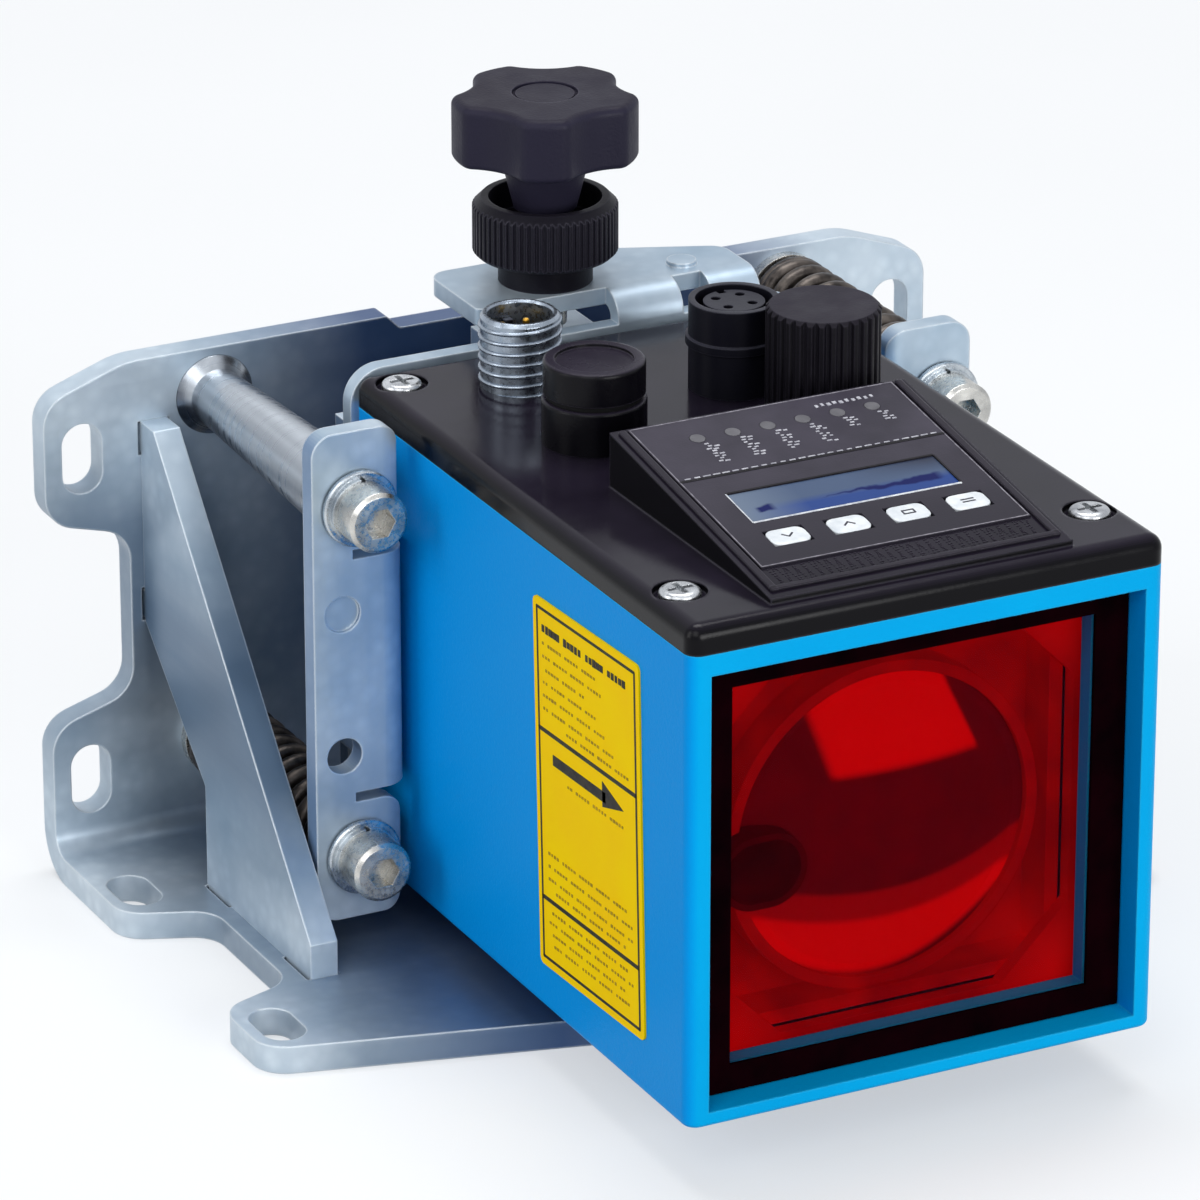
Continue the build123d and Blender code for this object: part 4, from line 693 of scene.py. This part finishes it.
(lamps_left, lamps_right), (lamps_front, lamps_back) = spread("indicator_lights", panel)[:2]
lamp_r = 1.05
lamp_count = 6
lamp_pitch = (lamps_right - lamps_left - 2 * lamp_r) / (lamp_count - 1)
lamp_row = (lamps_front + lamps_back) / 2
long_label, short_label, label_step = 8, 4, 0.66
label_spots = []
for lamp in range(lamp_count):
    lamp_x = lamps_left + lamp_r + lamp * lamp_pitch
    for step in range(long_label if lamp < 4 else short_label):
        down = lamp_row - 1.7 - step * label_step
        sway = 0.25 * math.sin(2.4 * step + lamp)
        label_spots.append((lamp_x + 0.75 + sway - 0.3, down))
        if (step + lamp) % 3:
            label_spots.append((lamp_x + 1.35 + sway, down - 0.2))
marks("lamp_labels", panel, label_spots, (0.72, 0.26), print_rise, ink_light, *on_film)
heading_x = lamps_right - lamp_r - lamp_pitch - 1.9
heading = [(heading_x + i * 0.92, lamp_row + 2.35 + 0.16 * (i % 2)) for i in range(10)]
marks("lamp_heading", panel, heading, (0.5, 0.62), print_rise, ink_light, *on_film)

edge_in, edge_w = 0.18, 0.16
corners = [(film_left + edge_in, film_front + edge_in), (film_right - edge_in, film_front + edge_in),
           (film_right - edge_in, film_back - edge_in), (film_left + edge_in, film_back - edge_in)]
plates("panel_edge", panel, [stroke(corners[i], corners[(i + 1) % 4], edge_w) for i in range(4)], -0.03, 0.05,
       edge_line, *on_film)

# The two borders beside the film and the bead across its front are moulded on the wedge, with a painted
# highlight along their edges
ridge_black = black_finish("ridge_black", tone(24, 21, 29), tone(40, 36, 46), 0.3, 0.42, 0.01 * MM,
                           tone(120, 116, 128), 0.25)
ridge_w, ridge_gap, ridge_corner = 1.1, 0.35, 0.4
bead_w = 0.9
ridge_front = film_front - 5.6
ridge_mid = (ridge_front + film_back) / 2
ridge_long = film_back - ridge_front
ridge_x = film_right + ridge_gap + ridge_w / 2
ridges = [((side * ridge_x, ridge_mid), (ridge_w, ridge_long), ridge_corner) for side in (-1, 1)]
bead = ((0, ridge_front + 0.5), (2 * (film_right + ridge_w + ridge_gap), bead_w), ridge_corner)
raised("panel_borders", panel, ridges + [bead], ((0, -0.6), (0, 0.05), (0.12, 0.2), (0.3, 0.26)), ridge_black,
       "carriage")

# The stipples' edges carry a faint painted highlight
stipple_black = black_finish("stipple_black", tone(34, 30, 38), tone(52, 47, 58), 0.4, 0.55, 0.01 * MM,
                             tone(60, 56, 68), 0.1)
stipple_rows, stipple_columns = 9, 58
stipples = []
for row in range(stipple_rows):
    for column in range(stipple_columns):
        offset = math.sin(12.9 * row + 78.2 * column)
        stipples.append((film_left + 0.7 + 0.66 * column + 0.25 * offset,
                         film_front - 0.6 - 0.46 * row + 0.16 * math.cos(37 * column + row)))
stipple_depth = -0.22
marks("panel_stipple", panel, stipples, (0.3, 0.14), stipple_depth, stipple_black, "carriage", "black_gloss",
      low=0.3, high=1.2)


# Display: a grey-blue glass set in the film, with a painted highlight line along its lower and left edges and
# a painted shadow along its back and right edges.
# It shows no text: its picture is a dark smear, widest at the right; a paler area at its left and a duller
# one at its back right are painted reflections. Places in it are shares of the glass.
def display_finish():
    low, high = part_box("display")
    smear_line = 0.37
    glass = Finish("display_glass", tone(60, 86, 130), 0.12, Specular_IOR_Level=0.08)
    x = glass.span(glass.axis("X"), low.x, high.x)
    y = glass.span(glass.axis("Y"), low.y, high.y)
    body = glass.mix(glass.span(y, 0.3, 0.5), tone(44, 70, 132), tone(76, 92, 120))
    # Painted reflections: a paler area at the left and a duller one at the back right
    painted_pale_reflection = glass.mix(glass.span(x, 0.3, 0.0), body, tone(108, 122, 142))
    painted_dull_reflection = glass.mix(glass.calc("MULTIPLY", glass.span(x, 0.55, 0.95), glass.span(y, 0.5, 0.9)), painted_pale_reflection,
                       tone(52, 58, 76))
    waver = glass.span(glass.noise(300, 2), 0.3, 0.7, -0.05, 0.05)
    height = glass.calc("ADD", y, waver)
    thick = glass.span(x, 0.38, 0.9, 0.02, 0.13)
    off_line = glass.calc("ABSOLUTE", glass.calc("SUBTRACT", height, smear_line))
    smear = glass.span(glass.calc("SUBTRACT", thick, off_line), 0.0, 0.05)
    smear = glass.calc("MULTIPLY", smear, band(glass, x, 0.36, 0.42, 0.93, 0.97))
    blob = glass.span(glass.calc("SUBTRACT", 0.11, off_line), 0.0, 0.05)
    blob = glass.calc("MULTIPLY", blob, band(glass, x, 0.06, 0.08, 0.13, 0.16))
    glass.colour(glass.mix(glass.calc("MAXIMUM", smear, blob), painted_dull_reflection, tone(8, 20, 84)))
    glass.bump(glass.noise(900, 1), 0.004 * MM)
    return glass.material


dress(display_finish(), "display")
# Painted highlight along the glass's lower and left edges, and painted shadow along its back and right edges
painted_highlight_ink = print_finish("display_highlight_line", tone(226, 230, 234), tone(176, 180, 190))
(screen_left, screen_right), (screen_front, screen_back) = spread("display", panel)[:2]
plates("display_highlight", panel,
       [stroke((screen_left, screen_front - 0.1), (screen_right, screen_front - 0.1), 0.3),
        stroke((screen_left - 0.1, screen_front), (screen_left - 0.1, screen_back), 0.16)],
       -0.05, 0.06, painted_highlight_ink, *on_film)
plates("display_shadow", panel,
       [stroke((screen_left, screen_back + 0.15), (screen_right, screen_back + 0.15), 0.35),
        stroke((screen_right + 0.12, screen_front), (screen_right + 0.12, screen_back), 0.25)],
       -0.05, 0.05, painted_shade_ink, *on_film)


# Keys and lamps: four moulded white silicone caps with a crowned top, and six grey lamp lenses.
# Each cap has a plain dark sign printed on it and goes down with its key.
def key_finish(name, light, shade):
    cap = Finish(name, light, 0.38, Specular_IOR_Level=0.25)
    patches = cap.noise(420, 3)
    cap.colour(cap.mix(cap.span(patches, 0.35, 0.7), light, shade))
    cap.bump(cap.noise(3000, 1), 0.01 * MM, 0.2 * MM)
    return cap.material


key_white = key_finish("key_white", tone(236, 240, 243), tone(206, 213, 219))
key_ink = print_finish("key_ink", tone(34, 34, 44), tone(74, 74, 86))
dress(key_finish("lamp_grey", tone(104, 103, 108), tone(84, 83, 88)), "indicator_lights")
signs = {"key_down": [((-0.75, 0.35), (0, -0.35)), ((0, -0.35), (0.75, 0.35))],
         "key_up": [((-0.75, -0.35), (0, 0.35)), ((0, 0.35), (0.75, -0.35))],
         "key_enter": [((-0.8, 0.4), (0.8, 0.4)), ((-0.8, -0.4), (0.8, -0.4)), ((-0.8, 0.4), (-0.8, -0.4)),
                       ((0.8, 0.4), (0.8, -0.4))],
         "key_back": [((-0.9, 0.3), (0.9, 0.3)), ((-0.9, -0.3), (0.9, -0.3))]}
for key, lines in signs.items():
    across, along, out = spread(key, panel)
    middle = ((across[0] + across[1]) / 2, (along[0] + along[1]) / 2)
    size = (across[1] - across[0], along[1] - along[0])
    top = out[1]
    cap = raised(key + "_cap", panel, [(middle, size, 1.3)],
                 ((0, out[0]), (0, top - 0.14), (0.1, top - 0.06), (0.3, top - 0.02), (0.9, top)),
                 key_white, key)
    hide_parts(key)
    drawn = [stroke((middle[0] + a[0], middle[1] + a[1]), (middle[0] + b[0], middle[1] + b[1]), 0.26)
             for a, b in lines]
    plates(key + "_sign", panel, drawn, top - 0.1, top + 0.03, key_ink, key, "panel_film")


# Power plug: a zinc die-casting with a chamfered flange, screwed in the lid, and gold-plated pins.
# Its barrel is turned, and a real thread runs round it.
plug_zinc = nickel_finish("plug_zinc", tone(166, 176, 188), tone(140, 149, 160))
dress(nickel_finish("gold", tone(226, 178, 76), tone(176, 128, 44)), "power_pins", "board_posts")


# A closed profile of radius and height, turned round an upright axis
def turned(name, centre, profile, steps, material, body):
    work = bmesh.new()
    rings = []
    for step in range(steps):
        angle = 2 * math.pi * step / steps
        across, along = MM * math.cos(angle), MM * math.sin(angle)
        rings.append([work.verts.new((centre.x + r * across, centre.y + r * along, z * MM))
                      for r, z in profile])
    count = len(profile)
    for step in range(steps):
        here, there = rings[step], rings[(step + 1) % steps]
        for i in range(count):
            work.faces.new((here[i], there[i], there[(i + 1) % count], here[(i + 1) % count]))
    return closed_piece(name, work, material, body)


def power_barrel():
    low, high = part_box("power_plug")
    centre = (low + high) / 2
    foot, rim = low.z / MM, high.z / MM
    flange_r = (high.x - low.x) / 2 / MM
    core_r, bore_r = 5.42, 4.45
    flange_top = foot + 2.0
    profile = [(flange_r, foot), (flange_r, flange_top - 0.35), (flange_r - 0.3, flange_top),
               (core_r + 0.3, flange_top), (core_r, flange_top + 0.5), (core_r, rim - 0.5),
               (core_r - 0.35, rim), (bore_r + 0.2, rim), (bore_r, rim - 0.3), (bore_r, foot)]
    barrel = turned("power_barrel", centre, profile, 96, plug_zinc, "carriage")
    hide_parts("power_plug")
    relief, turns, ridge_r = 0.8, 7, 0.34
    run = (rim - flange_top - 2 * relief) * MM
    thread = wound("power_thread", core_r * MM, run, turns, ridge_r * MM, 1.0, 1.0, 6, plug_zinc)
    thread.transform(Matrix.Translation((centre.x, centre.y, (flange_top + relief) * MM))
                     @ Matrix.Rotation(-math.pi / 2, 4, "X"))
    finished("power_thread", thread, plug_zinc, "carriage")


power_barrel()


# Label: yellow film, stuck on the left side a little askew. Its print is plain fields with no text or sign:
# a border, two dividers, rows of bars and one arrow towards the front.
def label_finish():
    film = Finish("label_yellow", tone(255, 212, 2), 0.5, Specular_IOR_Level=0.03)
    clouds = film.noise(60, 4)
    film.colour(film.mix(film.span(clouds, 0.3, 0.7), tone(255, 208, 0), tone(255, 218, 4)))
    film.rough(film.span(clouds, 0.3, 0.7, 0.42, 0.56))
    film.bump(film.noise(1600, 2), 0.015 * MM, 0.1 * MM)
    return film.material


dress(label_finish(), "label_plate")
label_tilt = math.radians(2.2)
label = face_of("label_plate", Vector((-1, 0, 0)),
                Vector((0, -math.cos(label_tilt), math.sin(label_tilt))))
label_w, label_h = [reach[1] - reach[0] for reach in spread("label_plate", label)[:2]]
label_ink = print_finish("label_ink", tone(30, 28, 30), tone(52, 48, 40))
label_faint = print_finish("label_faint", tone(150, 122, 24), tone(186, 150, 16))


def on_label(across, down):
    return (across - 0.5) * label_w, (0.5 - down) * label_h


edge_x, edge_y = 1.2 / label_w, 1.3 / label_h
border = [on_label(*corner) for corner in ((edge_x, edge_y), (1 - edge_x, edge_y), (1 - edge_x, 1 - edge_y),
                                           (edge_x, 1 - edge_y))]
label_lines = [stroke(border[i], border[(i + 1) % 4], 0.42) for i in range(4)]
label_lines += [stroke(on_label(edge_x, down), on_label(1 - edge_x, down), 0.6) for down in (0.35, 0.81)]
arrow_down = 0.415
shaft_start, shaft_end = on_label(0.18, arrow_down), on_label(0.66, arrow_down)
label_lines.append(stroke(shaft_start, shaft_end, 1.5))
tip = on_label(0.84, arrow_down)
barb_x = shaft_end[0] - 0.6
label_lines.append([(barb_x, shaft_end[1] - 1.5), tip, (barb_x, shaft_end[1] + 2.1)])
plates("label_lines", label, label_lines, -0.05, 0.05, label_ink, "carriage", "label_yellow")


# Rows of short bars stand where the label has its printed lines. Each row says how far down the label it is
# and where it starts and ends across it, as shares of the label.
def label_rows(rows, pitch):
    spots = []
    for down, start, end in rows:
        count = int((end - start) * label_w / pitch)
        for i in range(count):
            if (i * 7 + int(down * 100)) % 6:
                spots.append(on_label(start + (i + 0.5) * pitch / label_w, down))
    return spots


title_rows = ((0.075, 0.08, 0.93),)
faint_rows = ((0.115, 0.08, 0.6), (0.15, 0.08, 0.68), (0.185, 0.08, 0.5), (0.22, 0.08, 0.62),
              (0.255, 0.08, 0.7), (0.29, 0.08, 0.78), (0.32, 0.3, 0.9), (0.46, 0.3, 0.86), (0.68, 0.1, 0.9),
              (0.715, 0.1, 0.92), (0.75, 0.1, 0.92), (0.78, 0.14, 0.86), (0.84, 0.1, 0.88),
              (0.87, 0.1, 0.92), (0.9, 0.1, 0.84), (0.93, 0.14, 0.9))
on_sticker = ("carriage", "label_yellow")
marks("label_title", label, label_rows(title_rows, 1.05), (0.85, 1.0), print_rise, label_ink, *on_sticker)
marks("label_rows", label, label_rows(faint_rows, 0.82), (0.56, 0.4), print_rise, label_faint, *on_sticker)


# Studio: a plain pale floor, four soft lamps, and the camera at the photograph's angle
def soft_light(name, place, aim, size, power):
    data = bpy.data.lights.new(name, "AREA")
    data.shape = "RECTANGLE"
    data.size = size[0]
    data.size_y = size[1]
    data.energy = power
    lamp = bpy.data.objects.new(name, data)
    bpy.context.scene.collection.objects.link(lamp)
    lamp.location = place
    lamp.rotation_euler = (Vector(aim) - Vector(place)).to_track_quat("-Z", "Y").to_euler()


# Camera, mirror and glass rays see a white studio. The lamps and a weaker sky light the object itself.
def seen_directly(tree):
    path = tree.nodes.new("ShaderNodeLightPath")
    total = path.outputs["Is Camera Ray"]
    for ray in ("Is Glossy Ray", "Is Transmission Ray"):
        adder = tree.nodes.new("ShaderNodeMath")
        adder.operation = "ADD"
        adder.use_clamp = True
        tree.links.new(total, adder.inputs[0])
        tree.links.new(path.outputs[ray], adder.inputs[1])
        total = adder.outputs["Value"]
    return total


def floor():
    mesh = bpy.data.meshes.new("floor")
    mesh.from_pydata([(-3, -3, 0), (3, -3, 0), (3, 3, 0), (-3, 3, 0)], [], [(0, 1, 2, 3)])
    paper_glow = 0.5
    paper = Finish("floor_paper", tone(180, 182, 184), 0.8, Specular_IOR_Level=0.1)
    paper.colour(paper.mix(paper.span(paper.noise(6, 2), 0.3, 0.7), tone(178, 180, 182),
                           tone(182, 184, 186)))
    paper.shader.inputs["Emission Color"].default_value = tone(250, 251, 252)
    paper.link(paper.calc("MULTIPLY", seen_directly(paper.tree), paper_glow),
               paper.shader.inputs["Emission Strength"])
    piece = shown("floor", mesh, paper.material)


floor()
soft_light("key", (-0.9, -0.9, 1.0), (0, 0, 0.05), (0.9, 0.9), 6)
soft_light("front", (0.25, -1.4, 0.35), (0, 0, 0.04), (0.8, 0.6), 11)
soft_light("top", (0.1, 0.25, 1.3), (0, 0, 0.05), (0.9, 0.5), 10)
soft_light("left", (-1.3, 0.1, 0.5), (0, 0.02, 0.05), (0.5, 0.9), 4.6)

sky_on_object, sky_seen = 0.3, 0.9
world = bpy.data.worlds.new("studio")
world.use_nodes = True
world.node_tree.nodes["Background"].inputs["Color"].default_value = (0.92, 0.95, 1.0, 1.0)
sky = world.node_tree.nodes.new("ShaderNodeMapRange")
sky.inputs["To Min"].default_value = sky_on_object
sky.inputs["To Max"].default_value = sky_seen
world.node_tree.links.new(seen_directly(world.node_tree), sky.inputs["Value"])
world.node_tree.links.new(sky.outputs["Result"], world.node_tree.nodes["Background"].inputs["Strength"])
bpy.context.scene.world = world
bpy.context.scene.view_settings.view_transform = "Standard"

lens = bpy.data.cameras.new("camera")
lens.sensor_width = 36
lens.lens = 226.85
camera = bpy.data.objects.new("camera", lens)
bpy.context.scene.collection.objects.link(camera)
camera.location = (-0.4387, -0.8380, 0.4486)
aim = Vector((-0.01707, -0.00525, 0.05749)) - camera.location
camera.rotation_euler = aim.to_track_quat("-Z", "Y").to_euler()
bpy.context.scene.camera = camera
